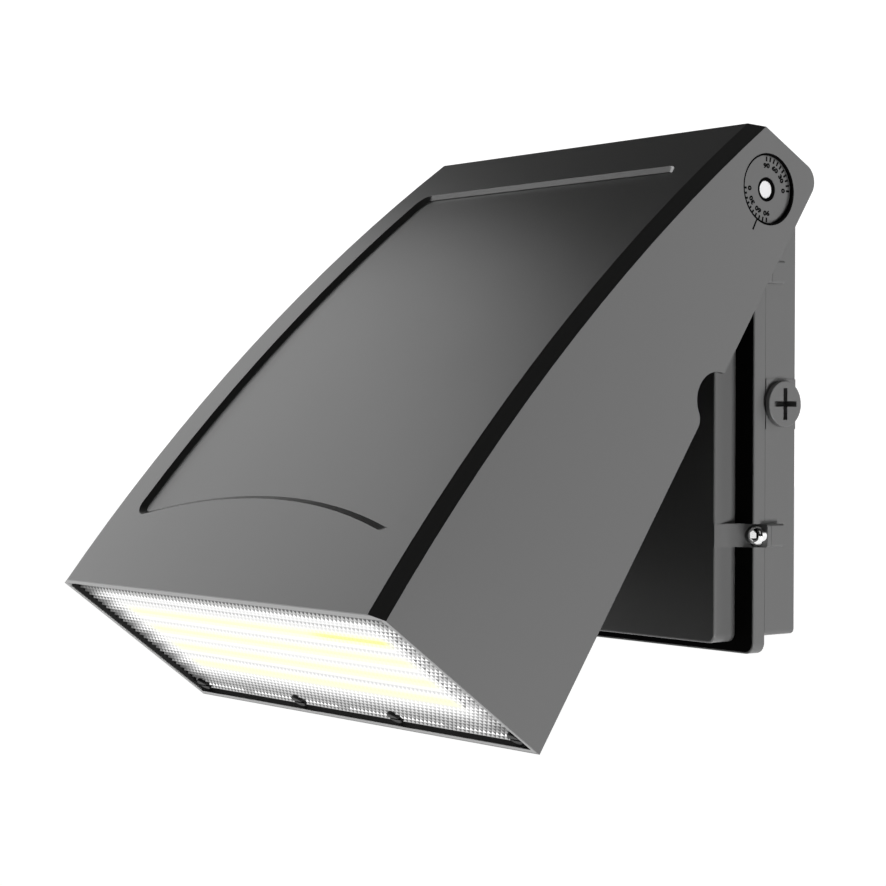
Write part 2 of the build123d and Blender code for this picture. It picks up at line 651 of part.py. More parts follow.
# Light engine: white reflector frame, board with rows of chips, finned heat sink
reflector = rim_plate(REFLECTOR_SIDE, REFLECTOR_FRONT, REFLECTOR_REAR, SEAT_BACK, REFLECTOR_TOP, LENS_CORNER)
throat_deep = THROAT_REAR - THROAT_FRONT
root_inset = REFLECTOR_WALL - REFLECTOR_FLARE
mouth = Pos(0, ENGINE_Y) * RectangleRounded(
    2 * (THROAT_SIDE - BREAK_THROUGH),
    throat_deep - 2 * BREAK_THROUGH,
    LENS_CORNER - BREAK_THROUGH,
)
root = Pos(0, ENGINE_Y) * RectangleRounded(
    2 * (THROAT_SIDE - root_inset),
    throat_deep - 2 * root_inset,
    LENS_CORNER - REFLECTOR_FLARE,
)
reflector -= loft([Pos(0, 0, SEAT_BACK) * mouth, Pos(0, 0, REFLECTOR_TOP) * root])
led_board = rim_plate(
    REFLECTOR_SIDE, REFLECTOR_FRONT, REFLECTOR_REAR, REFLECTOR_TOP, BOARD_TOP, LENS_CORNER - REFLECTOR_LAP
)
led_pitch = 2 * (THROAT_SIDE - LED_END_MARGIN) / (LED_PER_ROW - 1)
led_chips = []
for row in range(LED_ROWS):
    for column in range(LED_PER_ROW):
        x = (column - (LED_PER_ROW - 1) / 2) * led_pitch
        y = ENGINE_Y + (row - (LED_ROWS - 1) / 2) * LED_ROW_PITCH
        led_chips.append(Pos(x, y, REFLECTOR_TOP - LED_THICK / 2) * Box(LED_SIZE, LED_SIZE, LED_THICK))
heat_sink = rim_plate(SINK_SIDE, REFLECTOR_FRONT, REFLECTOR_REAR, BOARD_TOP, SINK_TOP, LENS_CORNER)
fin_reach = SINK_POST_SPREAD / 2 - 2 * M4_HEAD_RADIUS
for index in range(FIN_COUNT):
    x = (index - (FIN_COUNT - 1) / 2) * 2 * REFLECTOR_SIDE / FIN_COUNT
    heat_sink += block(
        (x - FIN_THICK / 2, x + FIN_THICK / 2),
        (ENGINE_Y - fin_reach, ENGINE_Y + fin_reach),
        (SINK_TOP - BREAK_THROUGH, SINK_TOP + FIN_HEIGHT),
    )
sink_screws = []
for x, y in SINK_POSTS:
    heat_sink -= Pos(x, y, SINK_TOP) * Cylinder(M4_RADIUS + SLIP_FIT, FAR / 10)
    sink_screws.append(Pos(x, y, SINK_TOP) * pan_screw(M4_HEAD_RADIUS, M4_HEAD_HEIGHT, M4_RADIUS, M4_LENGTH))

# Wall box: flat back, drip edge, ears, screw bosses and conduit pads
back_box = rounded(BOX_HALF, BOX_BOTTOM, COVER_TOP, BOX_FRONT, BOX_REAR, BOX_CORNER)
ear_touch = (EAR_RADIUS * cos(radians(EAR_TANGENT)), EAR_RADIUS * sin(radians(EAR_TANGENT)))
ear_view = Circle(EAR_RADIUS) + polygon(
    (-ear_touch[0], -ear_touch[1]),
    (BOX_FRONT, COVER_TOP + BREAK_THROUGH),
    (BOX_FRONT, COVER_TOP - BOX_WALL),
    (BOX_REAR, COVER_TOP - BOX_WALL),
    (BOX_REAR, EAR_TOP_BACK),
    (EAR_HEEL_BACK, EAR_HEEL_UP),
    ear_touch,
)
ear = extrude(Plane.YZ * ear_view, amount=-EAR_THICK)
for side in SIDES:
    back_box += Pos(side * BOX_HALF + (0 if side > 0 else EAR_THICK), 0, 0) * ear
    pad_x = sorted((side * (BOX_HALF - BREAK_THROUGH), side * (BOX_HALF + PAD_PROUD)))
    for z in SCREW_HEIGHTS:
        pad = block(pad_x, (BOX_FRONT, PAD_BACK), (z - PAD_HALF, z + PAD_HALF))
        outer = pad.edges().group_by(Axis.X)[-1 if side > 0 else 0]
        back_box += fillet(outer.filter_by(Axis.Y), PAD_ROUND)
    pad_x = sorted((side * (BOX_HALF - BREAK_THROUGH), side * (BOX_HALF + CONDUIT_PAD_PROUD)))
    back_box += block(
        pad_x, (BOX_FRONT, BOX_REAR), (MOUNT_Z - CONDUIT_PAD_HALF, MOUNT_Z + CONDUIT_PAD_HALF)
    )
inside = rounded(
    BOX_HALF - BOX_WALL,
    BOX_BOTTOM + BOX_WALL,
    COVER_TOP - BOX_WALL,
    BOX_FRONT - BREAK_THROUGH,
    INNER_BACK,
    BOX_CORNER,
)
for side in SIDES:
    ledge_x = sorted((side * (BOX_HALF - SIDE_LEDGE), side * BOX_HALF))
    ledge_y = (BOX_FRONT - 2 * BREAK_THROUGH, BOX_FRONT + SIDE_LEDGE_DEEP)
    inside -= block(ledge_x, ledge_y, (BOX_BOTTOM, COVER_TOP))
    for z in SCREW_HEIGHTS:
        inside -= along_y(BOSS_RADIUS, -FAR, FAR, side * SCREW_X, z)
back_box -= inside

# Holes of the box: wall bolts, wires, conduits, gland and pivot
wall_holes = [along_y(WIRE_HOLE_RADIUS, 0, FAR, 0, MOUNT_Z)]
for x in (-BOLT_SPACING_X / 2, BOLT_SPACING_X / 2):
    for z in (MOUNT_Z - BOLT_SPACING_Z / 2, MOUNT_Z + BOLT_SPACING_Z / 2):
        wall_holes.append(along_y(BOLT_RADIUS, 0, FAR, x, z))
for hole in wall_holes:
    back_box -= hole
back_box -= along_x(CONDUIT_RADIUS, -FAR, FAR, CONDUIT_BACK, MOUNT_Z)
gland_hole = Cylinder(GLAND_NECK_RADIUS + SLIP_FIT, 4 * BOX_WALL)
back_box -= Pos(-FITTING_OFFSET, GLAND_Y, COVER_TOP) * gland_hole
back_box -= along_x(PIN_RADIUS + SLIP_FIT, -FAR, FAR)

# Foam pad between box and wall
seal_half = BOX_HALF - WALL_SEAL_INSET
wall_seal = rounded(
    seal_half, BOX_BOTTOM + WALL_SEAL_INSET, COVER_TOP - WALL_SEAL_INSET, BOX_REAR, PIVOT_TO_WALL, BOX_CORNER
)
for hole in wall_holes:
    wall_seal -= hole

# Cover of the box: flange, raised front and scooped screw seats
RAISED_LOW = COVER_BOTTOM + RAISED_FOOT
RAISED_HIGH = COVER_TOP - RAISED_INSET
flange = rounded(BOX_HALF, COVER_BOTTOM, COVER_TOP, FLANGE_FRONT, FLANGE_BACK, FLANGE_CORNER)
flange = fillet(flange.faces().sort_by(Axis.Y)[0].edges(), FLANGE_ROUND)
raised = rounded(
    RAISED_HALF,
    RAISED_LOW,
    RAISED_HIGH,
    RAISED_FRONT,
    FLANGE_FRONT + BREAK_THROUGH,
    RAISED_CORNER,
)
raised = fillet(raised.faces().sort_by(Axis.Y)[0].edges(), RAISED_ROUND)
box_cover = flange + raised
SCOOP_RADIUS = SCREW_SEAT - RAISED_FRONT
for side in SIDES:
    rib_x = sorted((side * (RAISED_HALF - BREAK_THROUGH), side * BOX_HALF))
    pad_x = sorted((side * (BOX_HALF - BREAK_THROUGH), side * (BOX_HALF + PAD_PROUD)))
    for z in SCREW_HEIGHTS:
        box_cover += block(rib_x, (RAISED_FRONT, FLANGE_FRONT + BREAK_THROUGH), (z - PAD_HALF, z + PAD_HALF))
        scoop_x = side * (RAISED_HALF + SCOOP_RADIUS)
        box_cover -= Pos(scoop_x, RAISED_FRONT, z) * Cylinder(SCOOP_RADIUS, 2 * PAD_HALF)
        box_cover -= along_y(PAD_HALF, RAISED_FRONT - BREAK_THROUGH, SCREW_SEAT, side * SCREW_X, z)
        pad = block(pad_x, (SCREW_SEAT, FLANGE_BACK), (z - PAD_HALF, z + PAD_HALF))
        outer = pad.edges().group_by(Axis.X)[-1 if side > 0 else 0]
        box_cover += fillet(outer.filter_by(Axis.Y), PAD_ROUND)
box_cover -= rounded(
    RAISED_HALF - COVER_WALL,
    BOX_BOTTOM + BOX_WALL,
    RAISED_HIGH - COVER_WALL,
    RAISED_FRONT + COVER_WALL,
    FLANGE_BACK + BREAK_THROUGH,
    RAISED_CORNER,
)


def box_frame(grow, y_low, y_high):
    """A frame along the walls of the box, inside its side screws, grown by a clearance."""
    shape = None
    for inset, corner in ((-grow, BOX_CORNER), (GASKET_WIDE + grow, BOX_CORNER - GASKET_WIDE)):
        x_half = BOX_HALF - GASKET_SIDE_INSET - inset
        z_low = BOX_BOTTOM + GASKET_INSET + inset
        z_high = COVER_TOP - GASKET_INSET - inset
        plate = rounded(x_half, z_low, z_high, y_low, y_high, corner)
        shape = shape - plate if shape else plate
    return shape


# Gasket of the cover, let into a groove of its flange
groove_floor = FLANGE_BACK - GASKET_GROOVE
box_gasket = box_frame(0, groove_floor, BOX_FRONT)
box_cover -= box_frame(SLIP_FIT, groove_floor, FLANGE_BACK + BREAK_THROUGH)

# Screws of the cover
cover_screws = []
for side in SIDES:
    for z in SCREW_HEIGHTS:
        screw_span = (SCREW_SEAT - BREAK_THROUGH, SCREW_SEAT + SCREW_LENGTH)
        hole = along_y(SCREW_RADIUS + SLIP_FIT, *screw_span, side * SCREW_X, z)
        box_cover -= hole
        box_gasket -= hole
        back_box -= hole
        cover_screws.append(facing((side * SCREW_X, SCREW_SEAT, z), (0, -1, 0)) * cap_screw(
            SCREW_HEAD_RADIUS, SCREW_HEAD_HEIGHT, SCREW_RADIUS, SCREW_LENGTH - SLIP_FIT, SCREW_KEY_ACROSS
        ))

# Conduit plugs with a cross slot, each on a flat seal
plug = extrude(Circle(PLUG_HEAD_RADIUS), amount=PLUG_HEAD_THICK)
plug = fillet(plug.edges().group_by(Axis.Z)[-1], PLUG_HEAD_THICK * EDGE_ROUND)
plug += extrude(Circle(CONDUIT_RADIUS - SLIP_FIT), amount=-PLUG_LENGTH)
for turn in (0, 90):
    slot = Rot(0, 0, turn) * Box(PLUG_SLOT_LONG, PLUG_SLOT_WIDE, 2 * PLUG_SLOT_DEEP)
    plug -= Pos(0, 0, PLUG_HEAD_THICK) * slot
seal = extrude(Circle(PLUG_HEAD_RADIUS - SLIDE_GAP) - Circle(CONDUIT_RADIUS), amount=SEAL_THICK)
SEAT_X = BOX_HALF + CONDUIT_PAD_PROUD
entries = [
    facing((SEAT_X, CONDUIT_BACK, MOUNT_Z), (1, 0, 0)),
    facing((-SEAT_X, CONDUIT_BACK, MOUNT_Z), (-1, 0, 0)),
]
conduit_plugs = [entry * Pos(0, 0, SEAL_THICK) * plug for entry in entries]
plug_seals = [entry * seal for entry in entries]

# Pivot on the right: trunnion, dial, pin, seal, washer and nut
DIAL_FACE = cheek_half(0) - DIAL_SINK
DIAL_SEAT = DIAL_FACE - DIAL_THICK
PIN_END = DIAL_FACE - PIN_END_SINK
PIN_SHOULDER = (EAR_FACE + DIAL_SEAT) / 2
NUT_FACE = EAR_FACE - EAR_THICK
PIN_START = NUT_FACE - NUT_HEIGHT - NUT_FLANGE_THICK - PIN_TAIL
hub = along_x(DIAL_RADIUS, EAR_FACE, DIAL_SEAT)
hub -= along_x(PIN_RADIUS + SLIP_FIT, 0, FAR)
hub -= along_x(PIN_END_RADIUS + SLIP_FIT, PIN_SHOULDER, FAR)
dial = along_x(DIAL_RADIUS, DIAL_SEAT, DIAL_FACE) - along_x(PIN_SEAL_RADIUS, 0, FAR)
tick_middle = DIAL_RADIUS - TICK_MARGIN - TICK_LONG / 2
for start in (0, 180):
    for value in range(0, 91, TICK_STEP):
        tick = Box(2 * TICK_DEEP, TICK_LONG, TICK_WIDE)
        dial -= Rot(start + value, 0, 0) * Pos(DIAL_FACE, -tick_middle, 0) * tick
pin = along_x(PIN_RADIUS, PIN_START, PIN_SHOULDER)
pin_end = along_x(PIN_END_RADIUS, PIN_SHOULDER, PIN_END)
pin += fillet(pin_end.edges().group_by(Axis.X)[-1], PIN_END_SINK / 2)
pin_seal = along_x(PIN_SEAL_RADIUS - SLIP_FIT, DIAL_SEAT, DIAL_SEAT + PIN_SEAL_THICK)
pin_seal -= along_x(PIN_END_RADIUS + SLIP_FIT, 0, FAR)
washer = along_x(EAR_RADIUS, EAR_FACE, EAR_FACE + WASHER_THICK) - along_x(DIAL_RADIUS + SLIP_FIT, 0, FAR)
nut = extrude(Circle(NUT_FLANGE_RADIUS), amount=NUT_FLANGE_THICK)
nut_hexagon = RegularPolygon(NUT_ACROSS / 2, 6, major_radius=False)
nut += Pos(0, 0, NUT_FLANGE_THICK) * extrude(nut_hexagon, NUT_HEIGHT)
nut -= Cylinder(PIN_RADIUS + SLIP_FIT, FAR)
nut = facing((NUT_FACE, 0, 0), (-1, 0, 0)) * nut

# Terminals, earth screw and gland of the box
terminal_z = MOUNT_Z + TERMINAL_DROP / 2
terminal_block = block(
    (-TERMINAL_LONG / 2, TERMINAL_LONG / 2),
    (INNER_BACK - TERMINAL_DEEP, INNER_BACK),
    (terminal_z - TERMINAL_TALL / 2, terminal_z + TERMINAL_TALL / 2),
)
way = TERMINAL_LONG / TERMINAL_WAYS
for index in range(TERMINAL_WAYS):
    x = (index - (TERMINAL_WAYS - 1) / 2) * way
    way_floor = INNER_BACK - TERMINAL_DEEP + TERMINAL_WAY_DEEP
    terminal_block -= along_y(TERMINAL_WAY_RADIUS, -FAR, way_floor, x, terminal_z)
ground_spot = (-GROUND_OFFSET, INNER_BACK, terminal_z)
ground_length = BOX_BACK - BREAK_THROUGH
ground_screw = facing(ground_spot, (0, -1, 0)) * pan_screw(
    GROUND_HEAD_RADIUS, GROUND_HEAD_HEIGHT, GROUND_RADIUS, ground_length
)
ground_end = INNER_BACK + ground_length + SLIP_FIT
back_box -= along_y(GROUND_RADIUS + SLIP_FIT, 0, ground_end, -GROUND_OFFSET, terminal_z)
box_gland = Pos(-FITTING_OFFSET, GLAND_Y, COVER_TOP) * gland(BOX_WALL, GLAND_NUT_HEIGHT)

# Put every piece in the frame of the wall and write it out
WALL_PLACE = Pos(0, -PIVOT_TO_WALL, PIVOT_ABOVE_MOUNT)
HEAD_PLACE = WALL_PLACE * Rot(-REST_TILT, 0, 0)
RIM_PLACE = HEAD_PLACE * RIM_PLANE.location
wall_pieces = {
    "back_box": [back_box],
    "wall_seal": [wall_seal],
    "box_gasket": [box_gasket],
    "box_cover": [box_cover],
    "cover_screws": cover_screws,
    "conduit_plugs": conduit_plugs,
    "plug_seals": plug_seals,
    "pivot_hubs": both_sides(hub),
    "dial_discs": both_sides(dial),
    "pivot_pins": both_sides(pin),
    "pin_seals": both_sides(pin_seal),
    "pivot_washers": both_sides(washer),
    "pivot_nuts": both_sides(nut),
    "terminal_block": [terminal_block],
    "ground_screw": [ground_screw],
    "box_gland": [box_gland],
}
head_pieces = {
    "hood": [hood],
    "rear_cover": [rear_cover],
    "rear_gasket": [rear_gasket],
    "rear_screws": rear_screws,
    "driver": [driver],
    "driver_screws": driver_screws,
    "head_gland": [head_gland],
    "breather_vent": [breather_vent],
}
rim_pieces = {
    "lens": [lens],
    "lens_gasket": [lens_gasket],
    "lens_screws": lens_screws,
    "reflector": [reflector],
    "led_board": [led_board],
    "led_chips": led_chips,
    "heat_sink": [heat_sink],
    "sink_screws": sink_screws,
}
for place, pieces in ((WALL_PLACE, wall_pieces), (HEAD_PLACE, head_pieces), (RIM_PLACE, rim_pieces)):
    for name, shapes in pieces.items():
        solids = [solid for shape in shapes for solid in (place * shape).solids()]
        export_step(solids[0] if len(solids) == 1 else Compound(children=solids), f"parts/{name}.step")
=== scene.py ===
"""Looks of an outdoor wall light with a tilting cast hood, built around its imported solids.

The wall is the plane Y = 0, the front looks towards -Y and +Z is up. Scene lengths are metres, and the
sizes of the pieces are written in millimetres.
"""
import json
import logging
from collections.abc import Iterable
from dataclasses import dataclass
from enum import Enum
from math import cos, exp, pi, radians, sin

import bmesh
import bpy
from mathutils import Matrix, Vector


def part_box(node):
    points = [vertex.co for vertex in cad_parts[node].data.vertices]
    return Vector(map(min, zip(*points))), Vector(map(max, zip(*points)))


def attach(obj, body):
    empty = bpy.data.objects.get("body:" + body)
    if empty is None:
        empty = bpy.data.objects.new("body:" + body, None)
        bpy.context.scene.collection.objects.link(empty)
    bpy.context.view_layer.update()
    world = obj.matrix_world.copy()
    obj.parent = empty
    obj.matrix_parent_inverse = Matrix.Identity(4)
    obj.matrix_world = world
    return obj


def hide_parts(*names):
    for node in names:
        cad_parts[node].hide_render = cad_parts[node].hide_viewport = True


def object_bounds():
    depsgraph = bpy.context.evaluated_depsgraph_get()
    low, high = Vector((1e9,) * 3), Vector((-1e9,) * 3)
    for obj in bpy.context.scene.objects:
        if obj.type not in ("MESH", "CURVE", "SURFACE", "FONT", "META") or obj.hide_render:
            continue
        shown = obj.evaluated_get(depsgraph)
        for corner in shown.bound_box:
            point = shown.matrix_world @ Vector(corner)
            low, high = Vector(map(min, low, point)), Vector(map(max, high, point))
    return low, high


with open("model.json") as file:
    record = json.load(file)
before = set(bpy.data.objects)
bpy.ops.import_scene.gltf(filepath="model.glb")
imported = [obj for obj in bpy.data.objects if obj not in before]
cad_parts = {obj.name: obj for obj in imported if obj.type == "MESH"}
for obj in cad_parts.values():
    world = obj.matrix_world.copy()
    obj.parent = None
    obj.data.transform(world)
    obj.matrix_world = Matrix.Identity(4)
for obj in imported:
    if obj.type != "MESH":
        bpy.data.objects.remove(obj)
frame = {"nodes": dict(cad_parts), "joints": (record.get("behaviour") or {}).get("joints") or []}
SOLIDS_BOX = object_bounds()

LOG = logging.getLogger("wall_light")
MM = 0.001
CORNER_STEPS = 6
SEAL_STEPS = 8
PATCH_GRAINS = 30
Colour = tuple[float, float, float, float]


class Body(str, Enum):
    """The two bodies that move against each other."""

    WALL_BOX = "wall_box"
    HEAD = "head"


class Side(Enum):
    """The two cheeks, by the sign of X."""

    RIGHT = 1
    LEFT = -1


def linear(hex_colour: str) -> Colour:
    """Turn an sRGB hex value into a linear colour.

    Args:
        hex_colour: Six digits after a hash.

    Returns:
        Red, green, blue and an alpha of 1.
    """
    parts = [int(hex_colour[i:i + 2], 16) / 255 for i in (1, 3, 5)]
    return (*(p / 12.92 if p <= 0.04045 else ((p + 0.055) / 1.055) ** 2.4 for p in parts), 1.0)


def per_mm(size: float) -> float:
    """Give the texture scale at which one cell is a size in millimetres."""
    return 1 / (size * MM)


def add(tree: bpy.types.NodeTree, kind: str, inputs: dict | None = None, **settings) -> bpy.types.Node:
    """Add a node with its settings and links.

    Args:
        tree: Node tree that gets the node.
        kind: Type name of the node.
        inputs: Value or source socket of each named or numbered input.
        **settings: Properties of the node itself.

    Returns:
        The new node.
    """
    made = tree.nodes.new(kind)
    for name, value in settings.items():
        setattr(made, name, value)
    for name, value in (inputs or {}).items():
        if isinstance(value, bpy.types.NodeSocket):
            tree.links.new(value, made.inputs[name])
        else:
            made.inputs[name].default_value = value
    return made


@dataclass(frozen=True)
class Finish:
    """A finish that is the same all over.

    Attributes:
        name: Name of the material.
        colour: sRGB hex value of the surface.
        metallic: 0 for paint and plastic, 1 for bare metal.
        roughness: How far reflections spread.
        ior: Refractive index.
        glow: sRGB hex value of light that the surface gives off.
        glow_strength: Strength of that light, where 1 shows as the colour itself.
        clear: Share of the light that passes through.
    """

    name: str
    colour: str
    metallic: float = 0.0
    roughness: float = 0.5
    ior: float = 1.5
    glow: str = "#ffffff"
    glow_strength: float = 0.0
    clear: float = 0.0

    def material(self) -> bpy.types.Material:
        """Give the material of this finish, which is made on first use."""
        known = bpy.data.materials.get(self.name)
        if known is not None:
            return known
        made = bpy.data.materials.new(self.name)
        made.use_nodes = True
        shader = made.node_tree.nodes["Principled BSDF"]
        shader.inputs["Base Color"].default_value = linear(self.colour)
        shader.inputs["Metallic"].default_value = self.metallic
        shader.inputs["Roughness"].default_value = self.roughness
        shader.inputs["IOR"].default_value = self.ior
        shader.inputs["Emission Color"].default_value = linear(self.glow)
        shader.inputs["Emission Strength"].default_value = self.glow_strength
        shader.inputs["Transmission Weight"].default_value = self.clear
        self.pattern(made.node_tree, shader)
        return made

    def pattern(self, tree: bpy.types.NodeTree, shader: bpy.types.Node) -> None:
        """Leave the finish plain. Finishes with a pattern add it here."""


@dataclass(frozen=True)
class GrainedFinish(Finish):
    """A finish with a fine, even grain, such as powder coat or moulded plastic.

    Attributes:
        grain: Width of one grain in millimetres.
        relief: Height of the grain in millimetres.
        spread: How much the roughness changes from place to place.
    """

    grain: float = 1.2
    relief: float = 0.01
    spread: float = 0.04

    def pattern(self, tree: bpy.types.NodeTree, shader: bpy.types.Node) -> None:
        """Add the grain as a low bump, and soft patches of more or less gloss."""
        place = add(tree, "ShaderNodeTexCoord").outputs["Object"]
        grain = add(tree, "ShaderNodeTexNoise", {
            "Vector": place,
            "Scale": per_mm(self.grain),
            "Detail": 2.0,
        })
        bump = add(tree, "ShaderNodeBump", {
            "Strength": 1.0,
            "Distance": self.relief * MM,
            "Height": grain.outputs["Fac"],
        })
        tree.links.new(bump.outputs["Normal"], shader.inputs["Normal"])
        patches = add(tree, "ShaderNodeTexNoise", {
            "Vector": place,
            "Scale": per_mm(PATCH_GRAINS * self.grain),
            "Detail": 3.0,
        })
        gloss = add(tree, "ShaderNodeMapRange", {
            "Value": patches.outputs["Fac"],
            "To Min": self.roughness - self.spread,
            "To Max": self.roughness + self.spread,
        })
        tree.links.new(gloss.outputs["Result"], shader.inputs["Roughness"])


@dataclass(frozen=True)
class RimmedFinish(GrainedFinish):
    """Powder coat on the hood, with a lighter band along its rim edge that is a painted highlight.

    Attributes:
        rim_colour: sRGB hex value of the band of painted highlight.
        rim_point: Middle of the rim plane in metres.
        rim_along: Direction from the front of the rim to its rear.
        rim_normal: Direction in which the rim looks.
        rim_skin: Depth below the rim plane over which the painted highlight shows, in millimetres.
        rim_half: Half length of the rim from front to rear in millimetres.
        rim_side: Half width of the rim in millimetres.
        bare_wide: Width of the band of painted highlight in millimetres.
        edge_wide: Width of the paint left outside the band.
    """

    rim_colour: str = "#b6b6b6"
    rim_point: tuple[float, float, float] = (0, 0, 0)
    rim_along: tuple[float, float, float] = (0, 1, 0)
    rim_normal: tuple[float, float, float] = (0, 0, -1)
    rim_skin: float = 0.2
    rim_half: float = 58.9
    rim_side: float = 150.0
    bare_wide: float = 3.1
    edge_wide: float = 1.0

    def pattern(self, tree: bpy.types.NodeTree, shader: bpy.types.Node) -> None:
        """Add the grain, and the lighter colour of the painted highlight along the rim."""
        super().pattern(tree, shader)
        place = add(tree, "ShaderNodeTexCoord").outputs["Object"]
        inside = add(tree, "ShaderNodeVectorMath", {
            0: place,
            1: self.rim_point,
        }, operation="SUBTRACT").outputs[0]
        reach = []
        for axis, half in (((1, 0, 0), self.rim_side), (self.rim_along, self.rim_half)):
            along = add(tree, "ShaderNodeVectorMath", {0: inside, 1: axis}, operation="DOT_PRODUCT")
            size = add(tree, "ShaderNodeMath", {0: along.outputs["Value"]}, operation="ABSOLUTE").outputs[0]
            beyond = add(tree, "ShaderNodeMath", {0: size, 1: half * MM}, operation="SUBTRACT")
            reach.append(beyond.outputs[0])
        outer = add(tree, "ShaderNodeMath", {0: reach[0], 1: reach[1]}, operation="MAXIMUM").outputs[0]
        edge = add(tree, "ShaderNodeMath", {
            0: outer,
            1: -(self.edge_wide + self.bare_wide / 2) * MM,
            2: self.bare_wide / 2 * MM,
        }, operation="COMPARE").outputs[0]
        height = add(tree, "ShaderNodeVectorMath", {0: inside, 1: self.rim_normal}, operation="DOT_PRODUCT")
        skin = add(tree, "ShaderNodeMath", {
            0: height.outputs["Value"],
            1: -self.rim_skin * MM,
        }, operation="GREATER_THAN").outputs[0]
        # Painted highlight: a lighter colour on a band along the rim edge
        highlight_band = add(tree, "ShaderNodeMath", {0: edge, 1: skin}, operation="MULTIPLY").outputs[0]
        colour = add(tree, "ShaderNodeMix", {
            "Factor": highlight_band,
            6: linear(self.colour),
            7: linear(self.rim_colour),
        }, data_type="RGBA")
        tree.links.new(colour.outputs[2], shader.inputs["Base Color"])


@dataclass(frozen=True)
class CellFinish(Finish):
    """A foam with open cells on its skin.

    Attributes:
        cell: Width of one cell in millimetres.
        relief: Depth of the cells in millimetres.
    """

    cell: float = 1.5
    relief: float = 0.3

    def pattern(self, tree: bpy.types.NodeTree, shader: bpy.types.Node) -> None:
        """Add the cells as a bump."""
        place = add(tree, "ShaderNodeTexCoord").outputs["Object"]
        cells = add(tree, "ShaderNodeTexVoronoi", {"Vector": place, "Scale": per_mm(self.cell)})
        bump = add(tree, "ShaderNodeBump", {
            "Strength": 1.0,
            "Distance": self.relief * MM,
            "Height": cells.outputs["Distance"],
        })
        tree.links.new(bump.outputs["Normal"], shader.inputs["Normal"])


@dataclass(frozen=True)
class LitPrismFinish(Finish):
    """Clear plastic prisms with the chips alight behind them, whose light is painted on as glow.

    Each facet carries its painted light: how much of the lit field it throws out, and how much of a yellow
    chip row.

    Attributes:
        row_glow: sRGB hex value of a facet that shows a row of chips.
        level: Face attribute with the strength of the light.
        warmth: Face attribute with the share of the chip rows.
    """

    row_glow: str = "#fbfb9c"
    level: str = "glow"
    warmth: str = "warm"

    def pattern(self, tree: bpy.types.NodeTree, shader: bpy.types.Node) -> None:
        """Let each facet glow by its own attributes."""
        level = add(tree, "ShaderNodeAttribute", attribute_name=self.level)
        warmth = add(tree, "ShaderNodeAttribute", attribute_name=self.warmth)
        colour = add(tree, "ShaderNodeMix", {
            "Factor": warmth.outputs["Fac"],
            6: linear(self.glow),
            7: linear(self.row_glow),
        }, data_type="RGBA")
        tree.links.new(colour.outputs[2], shader.inputs["Emission Color"])
        tree.links.new(level.outputs["Fac"], shader.inputs["Emission Strength"])


def finished(name: str, mesh: bpy.types.Mesh, finish: Finish, body: Body) -> bpy.types.Object:
    """Put a mesh in the scene with its finish, on the body that carries it.

    Args:
        name: Name of the piece.
        mesh: Mesh in its final place.
        finish: Finish of the whole piece.
        body: Body that the piece rides on.

    Returns:
        The new object.
    """
    made = bpy.data.objects.new(name, mesh)
    bpy.context.scene.collection.objects.link(made)
    mesh.materials.clear()
    mesh.materials.append(finish.material())
    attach(made, body.value)
    LOG.info("%s: %d faces on %s", name, len(mesh.polygons), body.value)
    return made


def mesh_of(name: str, bm: bmesh.types.BMesh) -> bpy.types.Mesh:
    """Turn a bmesh into a mesh with merged corners and faces that look outwards.

    Args:
        name: Name of the mesh.
        bm: The bmesh, which is freed.

    Returns:
        The new mesh.
    """
    bmesh.ops.remove_doubles(bm, verts=bm.verts, dist=1e-6)
    bmesh.ops.recalc_face_normals(bm, faces=bm.faces)
    mesh = bpy.data.meshes.new(name)
    bm.to_mesh(mesh)
    bm.free()
    return mesh


def add_block(bm: bmesh.types.BMesh, size: Vector, place: Matrix) -> None:
    """Add a box to a bmesh.

    Args:
        bm: The bmesh that grows.
        size: Lengths along the box's own axes in metres.
        place: Where the middle of the box goes, and how it is turned.
    """
    bmesh.ops.create_cube(bm, size=1.0, matrix=place @ Matrix.Diagonal((*size, 1.0)))


def add_ring(bm: bmesh.types.BMesh, profile: Iterable[tuple[float, float]], steps: int = 72) -> list:
    """Turn a closed profile around the Z axis into a ring.

    Args:
        bm: The bmesh that grows.
        profile: Radius and height of each corner in millimetres.
        steps: Number of steps around the axis.

    Returns:
        The corners of the ring.
    """
    known = len(bm.verts)
    corners = [bm.verts.new((radius * MM, 0, height * MM)) for radius, height in profile]
    edges = [bm.edges.new(pair) for pair in zip(corners, corners[1:] + corners[:1])]
    bmesh.ops.spin(
        bm,
        geom=corners + edges,
        cent=(0, 0, 0),
        axis=(0, 0, 1),
        angle=2 * pi,
        steps=steps,
        use_merge=True,
    )
    return list(bm.verts)[known:]


def add_band(bm: bmesh.types.BMesh, chains: Iterable[list[Vector]], push: Vector) -> None:
    """Bridge two chains of points to a flat band, and give it its thickness.

    Args:
        bm: The bmesh that grows.
        chains: Two chains with as many points each, in metres.
        push: Way from the band to its other face.
    """
    edges = []
    for chain in chains:
        corners = [bm.verts.new(point) for point in chain]
        edges += [bm.edges.new(pair) for pair in zip(corners, corners[1:])]
    band = bmesh.ops.bridge_loops(bm, edges=edges)["faces"]
    grown = bmesh.ops.extrude_face_region(bm, geom=band, use_keep_orig=True)["geom"]
    bmesh.ops.translate(bm, verts=[v for v in grown if isinstance(v, bmesh.types.BMVert)], vec=push)


def dress(finishes: dict[str, Finish]) -> None:
    """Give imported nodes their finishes.

    Args:
        finishes: Finish of each node, by its name.
    """
    for name, finish in finishes.items():
        mesh = frame["nodes"][name].data
        mesh.materials.clear()
        mesh.materials.append(finish.material())
        LOG.info("%s: %s", name, finish.name)


